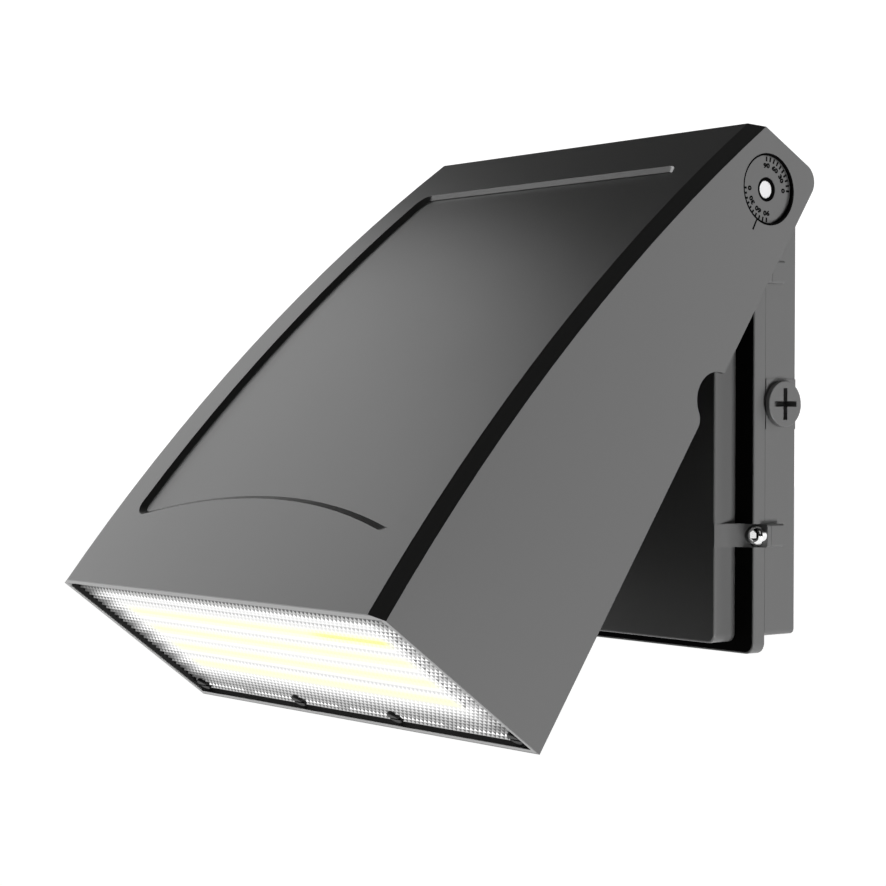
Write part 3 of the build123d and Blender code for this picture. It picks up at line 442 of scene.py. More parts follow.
@dataclass(frozen=True)
class HeadPlace:
    """Where the hood hangs: its pivot, its tilt at rest and its rim, in the closed hood's own frame.

    Attributes:
        rim_front: Reach (Y) and height (Z) of the front rim edge from the pivot, in millimetres.
        rim_rear: Reach and height of the rear rim edge.
    """

    rim_front: tuple[float, float] = (-119.6, -310.7)
    rim_rear: tuple[float, float] = (-2.6, -324.9)

    def head(self) -> Matrix:
        """Give the place of the closed hood's frame, swung open as at rest."""
        joint = frame["joints"][0]
        return Matrix.Translation(joint["pos_m"]) @ Matrix.Rotation(radians(joint["range_deg"][0]), 4, "X")

    def rim(self) -> Matrix:
        """Give the rim's frame at rest: X right, Y from front to rear, Z inwards."""
        front, rear = Vector((0, *self.rim_front)), Vector((0, *self.rim_rear))
        along = (rear - front).normalized()
        inward = Vector((1, 0, 0)).cross(along)
        middle = (front + rear) * MM / 2
        turn = Matrix(((1, 0, 0), along, inward)).transposed().to_4x4()
        return self.head() @ Matrix.Translation(middle) @ turn


HEAD_PLACE = HeadPlace()
RIM = HEAD_PLACE.rim()

# Charcoal powder coat on the die-cast box: dark grey with a soft sheen
PAINT = GrainedFinish("charcoal_powder_coat", "#828282", roughness=0.3, ior=1.4, spread=0.01)
# Charcoal powder coat with metal flake on the hood and dials: mirrors bright walls softly, and is near
# black where it mirrors a dark ceiling
# The lighter band along the hood's rim is a painted highlight
HOOD_PAINT = RimmedFinish(
    "charcoal_powder_coat_hood",
    "#797979",
    metallic=0.5,
    roughness=0.29,
    spread=0.01,
    rim_point=tuple(RIM.translation),
    rim_along=tuple(RIM.to_3x3().col[1]),
    rim_normal=tuple(-RIM.to_3x3().col[2]),
)
# Black paint wiped into the engraved marks: dull, with no flake
MARK_INK = Finish("black_infill_paint", "#030303", roughness=0.8, ior=1.2)
# Polished stainless steel: a clear mirror
POLISHED_STEEL = Finish("polished_stainless_steel", "#f2f2f2", metallic=1.0, roughness=0.06)
# Bead-blasted stainless steel: spreads the lamp over its whole face
SATIN_STEEL = GrainedFinish(
    "satin_stainless_steel",
    "#fafafa",
    metallic=1.0,
    roughness=0.85,
    grain=0.3,
    relief=0.002,
)
# Plain stainless steel: softer mirror with fine rolling marks
PLAIN_STEEL = GrainedFinish(
    "plain_stainless_steel",
    "#b4b5b6",
    metallic=1.0,
    roughness=0.3,
    grain=0.4,
    relief=0.003,
)
# Black oxide on steel: dark and a little oily
BLACK_STEEL = Finish("black_oxide_steel", "#0c0c0c", roughness=0.45, ior=1.3)
# Moulded silicone: black and dull
SILICONE = GrainedFinish("black_silicone", "#0c0c0c", roughness=0.7, ior=1.41, grain=0.6, relief=0.01)
# Dead black strips and rings of painted shade on the flange front, in the dial bores and around the pins:
# dull, with no gloss
SHADE_BLACK = Finish("painted_shade_black", "#030303", roughness=0.9, ior=1.15)
# Dark grey strip of painted shade in the gap around the lens: dull, and painted a little lighter for the
# light of the lit lens
GAP_SHADE_GREY = Finish("painted_shade_dark_grey", "#2c2c2c", roughness=0.8, ior=1.2)
# Closed-cell foam: black with small pits
FOAM = CellFinish("closed_cell_foam", "#1a1a1a", roughness=0.95, ior=1.45)
# Moulded black nylon: fine spark-eroded grain
NYLON = GrainedFinish("black_nylon", "#131314", roughness=0.45, ior=1.53, grain=0.5, relief=0.008)
# Moulded white polycarbonate of the terminals
WHITE_PLASTIC = GrainedFinish(
    "white_polycarbonate",
    "#e9e9e4",
    roughness=0.4,
    ior=1.58,
    grain=0.5,
    relief=0.006,
)
# White reflector and solder mask, with the light of the rows of chips on them painted on as glow
REFLECTOR_WHITE = Finish(
    "reflector_painted_glow",
    "#f4f4f0",
    roughness=0.4,
    ior=1.58,
    glow="#fdfdfb",
    glow_strength=0.85,
)
BOARD_WHITE = Finish(
    "solder_mask_painted_glow",
    "#f4f4f0",
    roughness=0.35,
    ior=1.55,
    glow="#ffffff",
    glow_strength=1.0,
)
# Phosphor over the chips: pale yellow when lit
PHOSPHOR = Finish("lit_phosphor", "#f3e08a", roughness=0.4, ior=1.5, glow="#fff9a8", glow_strength=1.05)
# Clear injection-moulded polycarbonate with the light on: every prism shines, apart from facets that look
# past the board into the dark housing
# The lens is no lamp: the light through it, and its dark facets, are painted on as glow
LIT_PRISMS = LitPrismFinish("lit_clear_polycarbonate", "#262626", roughness=0.15, ior=1.49)
# Flat black coat on the door behind the hood: takes light away from the gap over the box
BLACK_COAT = GrainedFinish("flat_black_powder_coat", "#0b0b0b", roughness=0.8, ior=1.2)
# Bare extruded aluminium
BARE_ALUMINIUM = GrainedFinish(
    "bare_aluminium",
    "#c4c6c8",
    metallic=1.0,
    roughness=0.38,
    grain=0.6,
    relief=0.004,
)
# Potted driver case in black plastic
DRIVER_PLASTIC = GrainedFinish("driver_case", "#202022", roughness=0.42, ior=1.53, grain=0.8, relief=0.01)


@dataclass
class SubAssembly:
    """A group of pieces that is built and dressed together."""

    def build(self) -> None:
        """Add no pieces. Groups with looks of their own add them here."""

    def dress(self) -> None:
        """Give no finishes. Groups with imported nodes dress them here."""


@dataclass
class WallBox(SubAssembly):
    """The box on the wall with its cover, screws, plugs and wiring.

    Attributes:
        flange_front: Distance of the flange's front from the wall, in millimetres.
        strip_thick: Thickness of the black strips of painted shade on the flange.
        outer_half: Half width of the strips' outer outline.
        outer_low: Height of its lower edge.
        outer_high: Height of its upper edge.
        inner_half: Half width of the strips' inner outline, along the raised front.
        inner_low: Height of its lower edge.
        inner_high: Height of its upper edge.
        corner: Radius of the outlines' corners.
        rib_corner: Radius of the inner outline's corners beside the upper ribs.
        rib_low: Lower edge of the screw ribs, above and below the middle of the bolts.
        rib_high: Upper edge of the screw ribs.
    """

    flange_front: float = 33.9
    strip_thick: float = 0.12
    outer_half: float = 124.2
    outer_low: float = -132.0
    outer_high: float = 85.0
    inner_half: float = 111.7
    inner_low: float = -127.3
    inner_high: float = 72.4
    corner: float = 5.0
    rib_corner: float = 0.5
    rib_low: float = 63.7
    rib_high: float = 76.3

    def outline(self, half: float, start: float, end: float, corner: float) -> list[Vector]:
        """Give an outline from a rib on the right to its twin on the left.

        Args:
            half: Half width of the outline.
            start: Height at the ribs.
            end: Height of the outline's edge beyond the corners.
            corner: Radius of the corners.

        Returns:
            Points with X to the right and Y upwards, in millimetres.
        """
        way = 1 if end > start else -1
        heart = Vector((half - corner, end - way * corner))
        turns = [pi / 2 * i / CORNER_STEPS for i in range(CORNER_STEPS + 1)]
        right = [Vector((half, start)), *(heart + Vector((cos(t), way * sin(t))) * corner for t in turns)]
        return right + [Vector((-p.x, p.y)) for p in reversed(right)]

    def build(self) -> None:
        """Lay black strips of painted shade on the flange around the raised front, with gaps for the screw
        ribs.
        """
        bm = bmesh.new()
        bands = [(
            self.outline(self.outer_half, self.rib_high, self.outer_high, self.corner),
            self.outline(self.inner_half, self.rib_high, self.inner_high, self.rib_corner),
        ), (
            self.outline(self.outer_half, -self.rib_high, self.outer_low, self.corner),
            self.outline(self.inner_half, -self.rib_high, self.inner_low, self.corner),
        )]
        for side in Side:
            edges = (side.value * self.outer_half, side.value * self.inner_half)
            bands.append(tuple([Vector((x, z)) for z in (-self.rib_low, self.rib_low)] for x in edges))
        for band in bands:
            chains = [[Vector((p.x, -self.flange_front, p.y)) * MM for p in chain] for chain in band]
            add_band(bm, chains, Vector((0, -self.strip_thick * MM, 0)))
        finished("flange_shade_strips", mesh_of("flange_shade_strips", bm), SHADE_BLACK, Body.WALL_BOX)

    def dress(self) -> None:
        """Give the pieces of the box their finishes."""
        dress({
            "back_box": PAINT,
            "box_cover": PAINT,
            "conduit_plugs": PAINT,
            "pivot_hubs": PAINT,
            "wall_seal": FOAM,
            "box_gasket": SILICONE,
            "plug_seals": SILICONE,
            "pin_seals": SILICONE,
            "cover_screws": POLISHED_STEEL,
            "pivot_pins": SATIN_STEEL,
            "pivot_washers": NYLON,
            "pivot_nuts": PLAIN_STEEL,
            "ground_screw": PLAIN_STEEL,
            "terminal_block": WHITE_PLASTIC,
            "box_gland": NYLON,
        })


@dataclass
class TiltDial(SubAssembly):
    """The two dials that show the tilt, with their inked marks and the pointers on the cheeks.

    Attributes:
        tick_radius: Distance of the middle of the ticks from the pivot, in millimetres.
        tick_long: Length of a tick.
        tick_wide: Width of a tick.
        ink_deep: Depth of the ink in an engraved mark.
        ink_proud: How far the ink stands above the surface.
        tick_step: Degrees between ticks.
        label_step: Degrees between numbers.
        label_radius: Distance of the numbers from the pivot.
        label_height: Height of the digits.
        label_wide: Width of the digits against those of the plain font.
        label_bold: How much the strokes are thickened.
        label_proud: How far the ink of the numbers stands above the dial.
        pointer_top: Distance of the upper end of the pointer below the pivot.
        pointer_low: Distance of its lower end.
        pointer_wide: Width of the pointer.
        cheek_half: Half width of the hood at the pointer.
        cheek_slope: Degrees by which the cheeks lean in towards the top.
        bore_radius: Radius of the bore that the dial sits in.
        bore_depth: Depth of the dial below the cheek.
        edge_break: Broken edge at the mouth of the bore, which the ring of painted shade covers.
        pin_radius: Radius of the pin's hole in its seal.
        seal_radius: Radius of the pin's seal.
        seal_sink: Depth below the dial of the black ring over the pin seal, which is partly painted shade.
        lip_thick: Thickness of that ring.
        lining_wall: Thickness of the black ring of painted shade in the bore.
        lining_drop: How far that ring ends below the cheek.
    """

    tick_radius: float = 15.9
    tick_long: float = 2.5
    tick_wide: float = 1.1
    ink_deep: float = 0.3
    ink_proud: float = 0.02
    tick_step: int = 10
    label_step: int = 30
    label_radius: float = 12.3
    label_height: float = 3.4
    label_wide: float = 1.35
    label_bold: float = 0.205
    label_proud: float = 0.04
    pointer_top: float = 18.75
    pointer_low: float = 25.05
    pointer_wide: float = 1.1
    cheek_half: float = 140.32
    cheek_slope: float = 1.83
    bore_radius: float = 18.5
    bore_depth: float = 1.7
    edge_break: float = 0.45
    pin_radius: float = 4.75
    seal_radius: float = 6.35
    seal_sink: float = 0.3
    lip_thick: float = 0.6
    lining_wall: float = 0.7
    lining_drop: float = 0.05

    def face(self) -> float:
        """Give the half distance between the two dial faces in metres."""
        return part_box("dial_discs")[1].x

    def at(self, side: Side, degrees: float, radius: float, outward: float) -> Matrix:
        """Give a place on a dial: X along the rim, Y away from the pivot, Z out of the cheek.

        Args:
            side: Which dial.
            degrees: Angle from the front, turning down first.
            radius: Distance from the pivot in millimetres.
            outward: Distance from the middle of the light in metres.

        Returns:
            The place in the row frame.
        """
        away = Vector((0, -cos(radians(degrees)), -sin(radians(degrees))))
        normal = Vector((side.value, 0, 0))
        turn = Matrix((away.cross(normal), away, normal)).transposed().to_4x4()
        pivot = Vector(frame["joints"][0]["pos_m"])
        return Matrix.Translation(pivot + away * radius * MM + normal * outward) @ turn

    def build_ticks(self) -> None:
        """Fill the engraved ticks of both dials with ink."""
        bm = bmesh.new()
        size = Vector((self.tick_wide, self.tick_long, self.ink_deep)) * MM
        depth = self.face() + (self.ink_proud - self.ink_deep / 2) * MM
        for side in Side:
            for start in (0, 180):
                for value in range(0, 91, self.tick_step):
                    add_block(bm, size, self.at(side, start + value, self.tick_radius, depth))
        finished("dial_ticks", mesh_of("dial_ticks", bm), MARK_INK, Body.WALL_BOX)

    def build_numbers(self) -> None:
        """Print the numbers of both dials."""
        bm = bmesh.new()
        for side in Side:
            for start in (0, 180):
                for value in range(0, 91, self.label_step):
                    letters = bpy.data.curves.new("number", "FONT")
                    letters.body = str(value)
                    letters.size = self.label_height * MM
                    letters.align_x = "CENTER"
                    letters.align_y = "CENTER"
                    letters.extrude = self.label_proud * MM
                    letters.offset = self.label_bold * MM
                    letters.resolution_u = 2
                    carrier = bpy.data.objects.new("number", letters)
                    flat = bpy.data.meshes.new_from_object(carrier)
                    flat.transform(Matrix.Diagonal((self.label_wide, 1, 1, 1)))
                    flat.transform(self.at(side, start + value, self.label_radius, self.face()))
                    bm.from_mesh(flat)
                    bpy.data.objects.remove(carrier)
                    bpy.data.curves.remove(letters)
                    bpy.data.meshes.remove(flat)
        finished("dial_numbers", mesh_of("dial_numbers", bm), MARK_INK, Body.WALL_BOX)

    def build_pointers(self) -> None:
        """Fill the pointer grooves of both cheeks with ink."""
        bm = bmesh.new()
        size = Vector((self.ink_deep, self.pointer_wide, self.pointer_low - self.pointer_top)) * MM
        middle = (self.pointer_top + self.pointer_low) / 2
        for side in Side:
            out = side.value * (self.cheek_half + self.ink_proud - self.ink_deep / 2)
            spot = Matrix.Translation(Vector((out, 0, -middle)) * MM)
            lean = Matrix.Rotation(radians(-side.value * self.cheek_slope), 4, "Y")
            add_block(bm, size, HEAD_PLACE.head() @ spot @ lean)
        finished("tilt_pointers", mesh_of("tilt_pointers", bm), MARK_INK, Body.HEAD)

    def build_seals(self) -> None:
        """Put black rings of painted shade in the bores around the dials, and over the pin seals."""
        bore_shades, pin_shades = bmesh.new(), bmesh.new()
        outer, top = self.bore_radius, self.bore_depth - self.lining_drop
        inner = outer - self.lining_wall
        for side in Side:
            place = self.at(side, 0, 0, self.face())
            # Black ring of painted shade over the bore's wall
            flare = (outer + self.edge_break, top), (inner, top)
            ring = add_ring(bore_shades, ((inner, 0), (outer, 0), (outer, top - self.edge_break), *flare))
            slope = Matrix.Identity(4)
            slope[2][0] = -side.value * sin(radians(self.cheek_slope))
            bmesh.ops.transform(bore_shades, matrix=slope, verts=[v for v in ring if v.co.z > 0])
            bmesh.ops.transform(bore_shades, matrix=place, verts=ring)
            # Black ring over the pin seal: the seal's own black, and painted shade where the bore's wall
            # would show
            depth = -self.seal_sink
            low = depth - self.lip_thick
            hole, edge = self.pin_radius, self.seal_radius
            lip = add_ring(pin_shades, ((hole, low), (edge, low), (edge, depth), (hole, depth)))
            bmesh.ops.transform(pin_shades, matrix=place, verts=lip)
        finished("bore_shade_rings", mesh_of("bore_shade_rings", bore_shades), SHADE_BLACK, Body.HEAD)
        finished("pin_shade_rings", mesh_of("pin_shade_rings", pin_shades), SHADE_BLACK, Body.WALL_BOX)

    def build(self) -> None:
        """Make the inked marks and the rings of painted shade around them."""
        self.build_ticks()
        self.build_numbers()
        self.build_pointers()
        self.build_seals()

    def dress(self) -> None:
        """Give the dials their finish."""
        dress({"dial_discs": HOOD_PAINT})


@dataclass
class Hood(SubAssembly):
    """The cast hood with its rear door, driver and fittings."""

    def dress(self) -> None:
        """Give the pieces of the hood their finishes."""
        dress({
            "hood": HOOD_PAINT,
            "rear_cover": BLACK_COAT,
            "rear_gasket": SILICONE,
            "rear_screws": PLAIN_STEEL,
            "driver": DRIVER_PLASTIC,
            "driver_screws": PLAIN_STEEL,
            "head_gland": NYLON,
            "breather_vent": NYLON,
        })


def ramp(value: float, low: float, high: float) -> float:
    """Rise from 0 at low to 1 at high, with soft ends."""
    share = min(max((value - low) / (high - low), 0.0), 1.0)
    return share * share * (3 - 2 * share)


def hump(value: float, middle: float, reach: float) -> float:
    """Give 1 at the middle, falling off softly on both sides."""
    return exp(-(((value - middle) / reach) ** 2))


@dataclass(frozen=True)
class Fade:
    """A border of the lens, over which the light falls off.

    Attributes:
        gone: Place in millimetres where the light has fallen to the shade.
        full: Place where it is full.
        shade: Strength of the light that is left.
    """

    gone: float
    full: float
    shade: float

    def at(self, place: float) -> float:
        """Give the strength of the light at a place across the border."""
        return self.shade + (1 - self.shade) * ramp(place, self.gone, self.full)


@dataclass
class LightEngine(SubAssembly):
    """The lit chips, and the moulded lens with its field of small prisms and its light painted on facet by
    facet.

    Places on the lens are in millimetres from the middle of the rim: X to the right, Y from front to rear.

    Attributes:
        half_wide: Half width of the lens.
        front: Front edge of the lens.
        rear: Rear edge of the lens.
        sink: Depth of the lens below the rim.
        thick: Thickness of the lens.
        corner: Radius of its corners.
        pitch: Spacing of the prisms.
        prism: Height of the prisms.
        lip_edge: Rear edge of the hood's lip over the front of the lens.
        first_row: Place of the front row of chips.
        row_pitch: Spacing of the rows of chips.
        rows: Number of rows of chips.
        row_reach: Half width over which a row of chips shows.
        row_left: Fall of the rows at their left end.
        row_right: Fall of the rows at their right end.
        row_warmth: How yellow the rows are.
        strong_end: Rise of the front row to its strong right end.
        strong_reach: Half width of that end.
        left: Fall of the light at the left border.
        right: Fall of the light at the right border.
        front_border: Fall of the light at the front border.
        rear_border: Fall of the light at the rear border.
        full: Strength of the light away from the borders.
        contrast: How far front facets fall below, and side facets rise above, the light in a border.
        dim_rows: Rows whose front facets get painted shade where they look into a gap, with the share of
            light they lose.
        glint_rows: Rows of the screwed border whose side facets get painted glints, with their strength.
        glint_stops: Places along those rows where the border is plain.
        line_reach: Half width of a dim row or a row of glints.
        stop_reach: Half length of a plain place in prisms.
        scatter: How much the facets of the side borders differ.
        scatter_x: Turn of the scatter per millimetre to the right.
        scatter_y: Turn of the scatter per millimetre to the rear.
        board_end: Place of the painted dark gap at the right end of the board.
        board_skew: How far the gap seems to drift to the left per millimetre to the rear.
        gap_front: Front end of the gap.
        gap_rear: Rear end of the gap.
        gap_light: Share of the light that is left in the gap.
        seal_wall: Thickness of the dark strip of painted shade between the lens and the hood.
        seal_top: Depth of that strip's edge below the rim.
        seal_bed: How far that strip reaches below the face of the lens.
    """

    half_wide: float = 146.0
    front: float = -55.5
    rear: float = 55.0
    sink: float = 3.0
    thick: float = 4.6
    corner: float = 7.0
    pitch: float = 3.36
    prism: float = 0.8
    lip_edge: float = -54.8
    first_row: float = -27.5
    row_pitch: float = 17.15
    rows: int = 4
    row_reach: float = 3.9
    row_left: Fade = Fade(-124.0, -108.0, 0.0)
    row_right: Fade = Fade(127.0, 114.0, 0.0)
    row_warmth: float = 0.5
    strong_end: Fade = Fade(50.0, 70.0, 0.0)
    strong_reach: float = 4.0
    left: Fade = Fade(-147.0, -113.0, 0.04)
    right: Fade = Fade(142.0, 118.0, 0.42)
    front_border: Fade = Fade(-49.5, -40.5, 0.2)
    rear_border: Fade = Fade(46.5, 27.0, 0.34)
    full: float = 0.93
    contrast: float = 0.85
    dim_rows: tuple[tuple[float, float], ...] = (
        (-37.1, 0.45), (-33.7, 0.2), (-17.0, 0.22), (-0.3, 0.18), (16.5, 0.27),
    )
    glint_rows: tuple[tuple[float, float], ...] = ((50.0, 0.62), (53.3, 0.3))
    glint_stops: tuple[float, ...] = (-92.0, -2.0, 90.0)
    line_reach: float = 1.2
    stop_reach: float = 1.5
    scatter: float = 0.7
    scatter_x: float = 12.9898
    scatter_y: float = 78.233
    board_end: float = 127.7
    board_skew: float = 0.08
    gap_front: float = -34.0
    gap_rear: float = 28.0
    gap_light: float = 0.3
    seal_wall: float = 0.3
    seal_top: float = 0.5
    seal_bed: float = 1.0

    def row_share(self, x: float, y: float) -> float:
        """Give how much of a chip row shows at a place on the lens."""
        lines = sum(hump(y, self.first_row + i * self.row_pitch, self.row_reach) for i in range(self.rows))
        ends = self.row_left.at(x) * self.row_right.at(x)
        strong = self.strong_end.at(x) * hump(y, self.first_row, self.strong_reach)
        return lines * ends * (self.row_warmth + (1 - self.row_warmth) * strong)

    def field(self, x: float, y: float) -> float:
        """Give the strength of the lit field at a place on the lens."""
        sides = self.left.at(x) * self.right.at(x)
        return self.full * sides * self.front_border.at(y) * self.rear_border.at(y)

    def facet_glow(self, x: float, y: float, lean_x: float, lean_y: float) -> float:
        """Give the strength of one facet.

        Args:
            x: Place of the facet to the right.
            y: Place of the facet to the rear.
            lean_x: Sideways lean of its normal to the right.
            lean_y: Lean of its normal to the rear.

        Returns:
            Strength of the light, where 1 is white.
        """
        level = self.field(x, y)
        swing = self.contrast * (1 - level / self.full) ** 0.5
        sides = self.left.at(x) * self.right.at(x)
        level *= 1 + self.scatter * (1 - sides) * sin(self.scatter_x * x + self.scatter_y * y)
        # Painted glints on the side facets of the screwed border rows
        if lean_y >= -abs(lean_x):
            if min(abs(x - stop) for stop in self.glint_stops) > self.stop_reach * self.pitch:
                glints = (strength * hump(y, spot, self.line_reach) for spot, strength in self.glint_rows)
                level = max(level, *glints)
            return level * (1 + swing)
        row = y + self.pitch / 3
        # Painted shade on the front facets of the dim rows and of the gap at the board's end
        level *= 1 - max(share * hump(row, spot, self.line_reach) for spot, share in self.dim_rows)
        beside = abs(x - self.board_end + self.board_skew * y) < self.pitch / 2
        dim = min(abs(row - spot) for spot, _ in self.dim_rows) <= self.pitch / 2
        if beside and self.gap_front < y < self.gap_rear and not dim:
            level *= self.gap_light
        return level * (1 - swing)

    def build_lens(self) -> None:
        """Make the lens: a rounded plate cut into cells, each raised to a low pyramid."""
        bm = bmesh.new()
        width, depth = 2 * self.half_wide * MM, (self.rear - self.front) * MM
        middle = (self.front + self.rear) / 2 * MM
        place = Matrix.Translation((0, middle, self.sink * MM)) @ Matrix.Diagonal((width, depth, 1, 1))
        bmesh.ops.create_grid(bm, x_segments=1, y_segments=1, size=0.5, matrix=place)
        bmesh.ops.bevel(
            bm,
            geom=list(bm.verts),
            offset=self.corner * MM,
            offset_type="OFFSET",
            segments=CORNER_STEPS,
            profile=0.5,
            affect="VERTICES",
            material=-1,
        )
        columns, rows = round(2 * self.half_wide / self.pitch), round((self.rear - self.front) / self.pitch)
        across, along = Vector((1, 0, 0)), Vector((0, 1, 0))
        cuts = [(across * width * (i / columns - 0.5), across) for i in range(1, columns)]
        cuts += [(along * (self.front * MM + depth * i / rows), along) for i in range(1, rows)]
        for point, normal in cuts:
            everything = list(bm.verts) + list(bm.edges) + list(bm.faces)
            bmesh.ops.bisect_plane(bm, geom=everything, dist=1e-7, plane_co=point, plane_no=normal)
        cell = (width / columns) * (depth / rows)
        outer = [
            f for f in bm.faces
            if abs(f.calc_area() - cell) < 0.01 * cell and min(v.co.y for v in f.verts) > self.lip_edge * MM
        ]
        spread = bmesh.ops.extrude_face_region(bm, geom=list(bm.faces), use_keep_orig=True)["geom"]
        inner = [v for v in spread if isinstance(v, bmesh.types.BMVert)]
        bmesh.ops.translate(bm, verts=inner, vec=(0, 0, self.thick * MM))
        bmesh.ops.recalc_face_normals(bm, faces=bm.faces)
        bmesh.ops.poke(bm, faces=outer, offset=self.prism * MM, center_mode="MEAN")
        self.light_facets(bm)
        bmesh.ops.transform(bm, matrix=RIM, verts=bm.verts)
        lens = finished("prism_lens", mesh_of("prism_lens", bm), LIT_PRISMS, Body.HEAD)
        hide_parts("lens")

    def light_facets(self, bm: bmesh.types.BMesh) -> None:
        """Write the light of every facet into its attributes.

        Args:
            bm: The lens in the rim's own frame.
        """
        glow = bm.faces.layers.float.new(LIT_PRISMS.level)
        warm = bm.faces.layers.float.new(LIT_PRISMS.warmth)
        bm.normal_update()
        for face in bm.faces:
            spot = face.calc_center_median() / MM
            face[glow] = self.facet_glow(spot.x, spot.y, face.normal.x, face.normal.y)
            face[warm] = self.row_share(spot.x, spot.y)

    def build_seal(self) -> None:
        """Make the dark strip of painted shade in the gap around the lens, open at the front under the lip.
        """
        bm = bmesh.new()
        turns = [pi / 2 * i / SEAL_STEPS for i in range(SEAL_STEPS + 1)]
        bend = [Vector((cos(t), sin(t))) * self.corner for t in turns]
        right = [Vector((self.half_wide - self.corner, self.rear - self.corner)) + p for p in bend]
        path = [Vector((self.half_wide, self.lip_edge)), *right]
        path += [Vector((-p.x, p.y)) for p in reversed(path)]
        heart = Vector((0, (self.lip_edge + self.rear) / 2))
        outer = [spot + (spot - heart).normalized() * self.seal_wall for spot in path]
        chains = [[Vector((p.x, p.y, self.seal_top)) * MM for p in chain] for chain in (path, outer)]
        add_band(bm, chains, Vector((0, 0, self.sink + self.seal_bed - self.seal_top)) * MM)
        bmesh.ops.transform(bm, matrix=RIM, verts=bm.verts)
        finished("lens_gap_shade", mesh_of("lens_gap_shade", bm), GAP_SHADE_GREY, Body.HEAD)

    def build(self) -> None:
        """Make the lens and the painted shade in the gap around it."""
        self.build_lens()
        self.build_seal()

    def dress(self) -> None:
        """Give the light engine its finishes, with the light on."""
        dress({
            "lens_gasket": SILICONE,
            "lens_screws": BLACK_STEEL,
            "reflector": REFLECTOR_WHITE,
            "led_board": BOARD_WHITE,
            "led_chips": PHOSPHOR,
            "heat_sink": BARE_ALUMINIUM,
            "sink_screws": PLAIN_STEEL,
        })


@dataclass(frozen=True)
class Softbox:
    """A soft lamp.

    Attributes:
        name: Name of the lamp.
        azimuth: Direction from the light in degrees, 0 in front and 90 on the right.
        elevation: Degrees above the horizon.
        distance: Metres from the light.
        wide: Width in metres.
        tall: Height in metres.
        radiance: Brightness of its face, where 1 is white.
        spread: Degrees that the grid in front of it lets through.
    """

    name: str
    azimuth: float
    elevation: float
    distance: float
    wide: float
    tall: float
    radiance: float
    spread: float = 180.0

    def build(self, target: Vector) -> None:
        """Make the lamp and aim it.

        Args:
            target: Point that the lamp looks at.
        """
        lamp = bpy.data.lights.new(self.name, "AREA")
        lamp.shape = "RECTANGLE"
        lamp.size = self.wide
        lamp.size_y = self.tall
        lamp.spread = radians(self.spread)
        lamp.energy = self.radiance * pi * self.wide * self.tall
        carrier = bpy.data.objects.new(self.name, lamp)
        turn, rise = radians(self.azimuth), radians(self.elevation)
        away = Vector((sin(turn) * cos(rise), -cos(turn) * cos(rise), sin(rise)))
        carrier.location = target + away * self.distance
        carrier.rotation_euler = away.to_track_quat("Z", "Y").to_euler()
        bpy.context.scene.collection.objects.link(carrier)


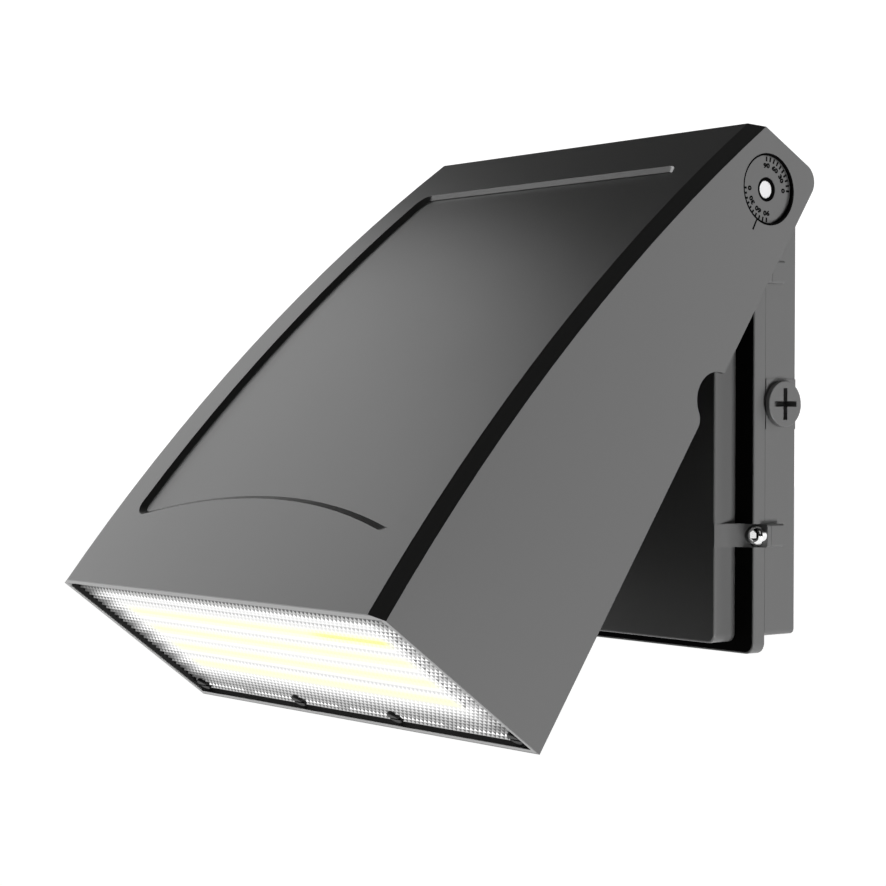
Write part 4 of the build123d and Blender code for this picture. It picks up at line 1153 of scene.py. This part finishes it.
@dataclass
class Studio:
    """White studio with a dark ceiling, a pale floor, soft lamps and the photograph's camera.

    Attributes:
        floor_level: Height of the floor in metres.
        floor_half: Half width of the floor in metres.
        floor_glow: Light that the floor adds for the camera, metal and glass, so that it shows white.
        wall_top: Height on the unit sphere where the white walls begin to darken.
        ceiling: Height on the unit sphere from which the ceiling is dark.
        wall_light: Light of the walls.
        ceiling_light: Light of the ceiling.
        dark_side: Direction of the dark room behind the camera.
        open_until: Share of that direction up to which the walls are white.
        dark_from: Share from which they are dark.
        dark_light: Share of light left in the dark room.
        image_px: Side of the square photograph in pixels.
        focal_px: Focal length in pixels.
        sensor_mm: Width of the sensor.
        eye: Place of the camera in millimetres.
        yaw: Degrees from the front to the right.
        pitch: Degrees above the horizon from which the camera looks.
        roll: Degrees of tilt of the camera.
    """

    floor_level: float = -2.4
    floor_half: float = 60.0
    floor_glow: float = 0.98
    wall_top: float = 0.25
    ceiling: float = 0.5
    wall_light: float = 1.15
    ceiling_light: float = 0.04
    dark_side: tuple[float, float, float] = (0.5, -0.866, 0.0)
    open_until: float = -0.25
    dark_from: float = -0.05
    dark_light: float = 0.01
    image_px: float = 886.0
    focal_px: float = 2268.65
    sensor_mm: float = 36.0
    eye: tuple[float, float, float] = (970.07, -902.50, -9.16)
    yaw: float = 52.011
    pitch: float = 0.577
    roll: float = 0.171

    def build_camera(self) -> None:
        """Make the camera of the photograph."""
        turn, rise, lean = radians(self.yaw), radians(self.pitch), radians(self.roll)
        back = Vector((sin(turn) * cos(rise), -cos(turn) * cos(rise), sin(rise)))
        right = (-back).cross(Vector((0, 0, 1))).normalized()
        up = right.cross(-back)
        right, up = right * cos(lean) + up * sin(lean), up * cos(lean) - right * sin(lean)
        lens = bpy.data.cameras.new("photograph")
        lens.sensor_width = self.sensor_mm
        lens.lens = self.focal_px / self.image_px * self.sensor_mm
        lens.clip_start = 0.01
        camera = bpy.data.objects.new("photograph", lens)
        camera.matrix_world = (
            Matrix.Translation(Vector(self.eye) * MM) @ Matrix((right, up, back)).transposed().to_4x4()
        )
        bpy.context.scene.collection.objects.link(camera)
        bpy.context.scene.camera = camera

    def build_world(self) -> None:
        """Make white walls, and a dark ceiling and room behind the camera. The camera sees plain white."""
        world = bpy.data.worlds.new("studio")
        bpy.context.scene.world = world
        world.use_nodes = True
        tree = world.node_tree
        direction = add(tree, "ShaderNodeTexCoord").outputs["Generated"]
        height = add(tree, "ShaderNodeSeparateXYZ", {0: direction}).outputs["Z"]
        walls = add(tree, "ShaderNodeMapRange", {
            "Value": height,
            "From Min": self.wall_top,
            "From Max": self.ceiling,
            "To Min": self.wall_light,
            "To Max": self.ceiling_light,
        }, interpolation_type="SMOOTHSTEP").outputs["Result"]
        towards = add(tree, "ShaderNodeVectorMath", {
            0: direction,
            1: self.dark_side,
        }, operation="DOT_PRODUCT")
        open_side = add(tree, "ShaderNodeMapRange", {
            "Value": towards.outputs["Value"],
            "From Min": self.open_until,
            "From Max": self.dark_from,
            "To Min": 1.0,
            "To Max": self.dark_light,
        }, interpolation_type="SMOOTHSTEP").outputs["Result"]
        room = add(tree, "ShaderNodeMath", {0: walls, 1: open_side}, operation="MULTIPLY").outputs["Value"]
        path = add(tree, "ShaderNodeLightPath").outputs
        seen = add(tree, "ShaderNodeMath", {
            0: path["Is Camera Ray"],
            1: path["Is Transmission Ray"],
        }, operation="MAXIMUM").outputs["Value"]
        level = add(tree, "ShaderNodeMath", {0: room, 1: seen}, operation="MAXIMUM")
        tree.links.new(level.outputs["Value"], tree.nodes["Background"].inputs["Strength"])
        tree.nodes["Background"].inputs["Color"].default_value = linear("#ffffff")

    def build_floor(self) -> None:
        """Make the pale floor, which keeps the shadow of the light."""
        bm = bmesh.new()
        place = Matrix.Translation((0, 0, self.floor_level))
        bmesh.ops.create_grid(bm, x_segments=1, y_segments=1, size=self.floor_half, matrix=place)
        mesh = bpy.data.meshes.new("floor")
        bm.to_mesh(mesh)
        bm.free()
        floor = bpy.data.objects.new("floor", mesh)
        bpy.context.scene.collection.objects.link(floor)
        made = bpy.data.materials.new("pale_floor")
        made.use_nodes = True
        tree = made.node_tree
        shader = tree.nodes["Principled BSDF"]
        shader.inputs["Base Color"].default_value = linear("#808080")
        shader.inputs["Roughness"].default_value = 0.9
        path = add(tree, "ShaderNodeLightPath")
        seen = path.outputs["Is Camera Ray"]
        for ray in ("Is Glossy Ray", "Is Transmission Ray"):
            either = add(tree, "ShaderNodeMath", {0: seen, 1: path.outputs[ray]}, operation="MAXIMUM")
            seen = either.outputs["Value"]
        glow = add(tree, "ShaderNodeMath", {0: seen, 1: self.floor_glow}, operation="MULTIPLY")
        shader.inputs["Emission Color"].default_value = linear("#ffffff")
        tree.links.new(glow.outputs["Value"], shader.inputs["Emission Strength"])
        mesh.materials.append(made)

    def build(self, lamps: Iterable[Softbox]) -> None:
        """Make the studio.

        Args:
            lamps: The soft lamps.
        """
        bpy.context.scene.view_settings.view_transform = "Standard"
        self.build_world()
        self.build_floor()
        self.build_camera()
        for lamp in lamps:
            lamp.build((SOLIDS_BOX[0] + SOLIDS_BOX[1]) / 2)


LAMPS = (
    Softbox("left_softbox", azimuth=-83, elevation=22, distance=3.0, wide=2.04, tall=2.28, radiance=1.19),
    Softbox("front_strip", azimuth=-51, elevation=16, distance=3.0, wide=0.7, tall=0.7, radiance=1.8),
    Softbox(
        "right_softbox",
        azimuth=98,
        elevation=-26,
        distance=3.2,
        wide=0.87,
        tall=1.16,
        radiance=2.15,
        spread=60,
    ),
    Softbox("front_fill", azimuth=65, elevation=37, distance=3.0, wide=2.0, tall=2.0, radiance=0.35),
)


def main() -> None:
    """Build the light and its studio."""
    logging.basicConfig(level=logging.INFO, format="%(name)s: %(message)s")
    for assembly in (WallBox(), TiltDial(), Hood(), LightEngine()):
        assembly.build()
        assembly.dress()
    Studio().build(LAMPS)


if __name__ == "__main__":
    main()
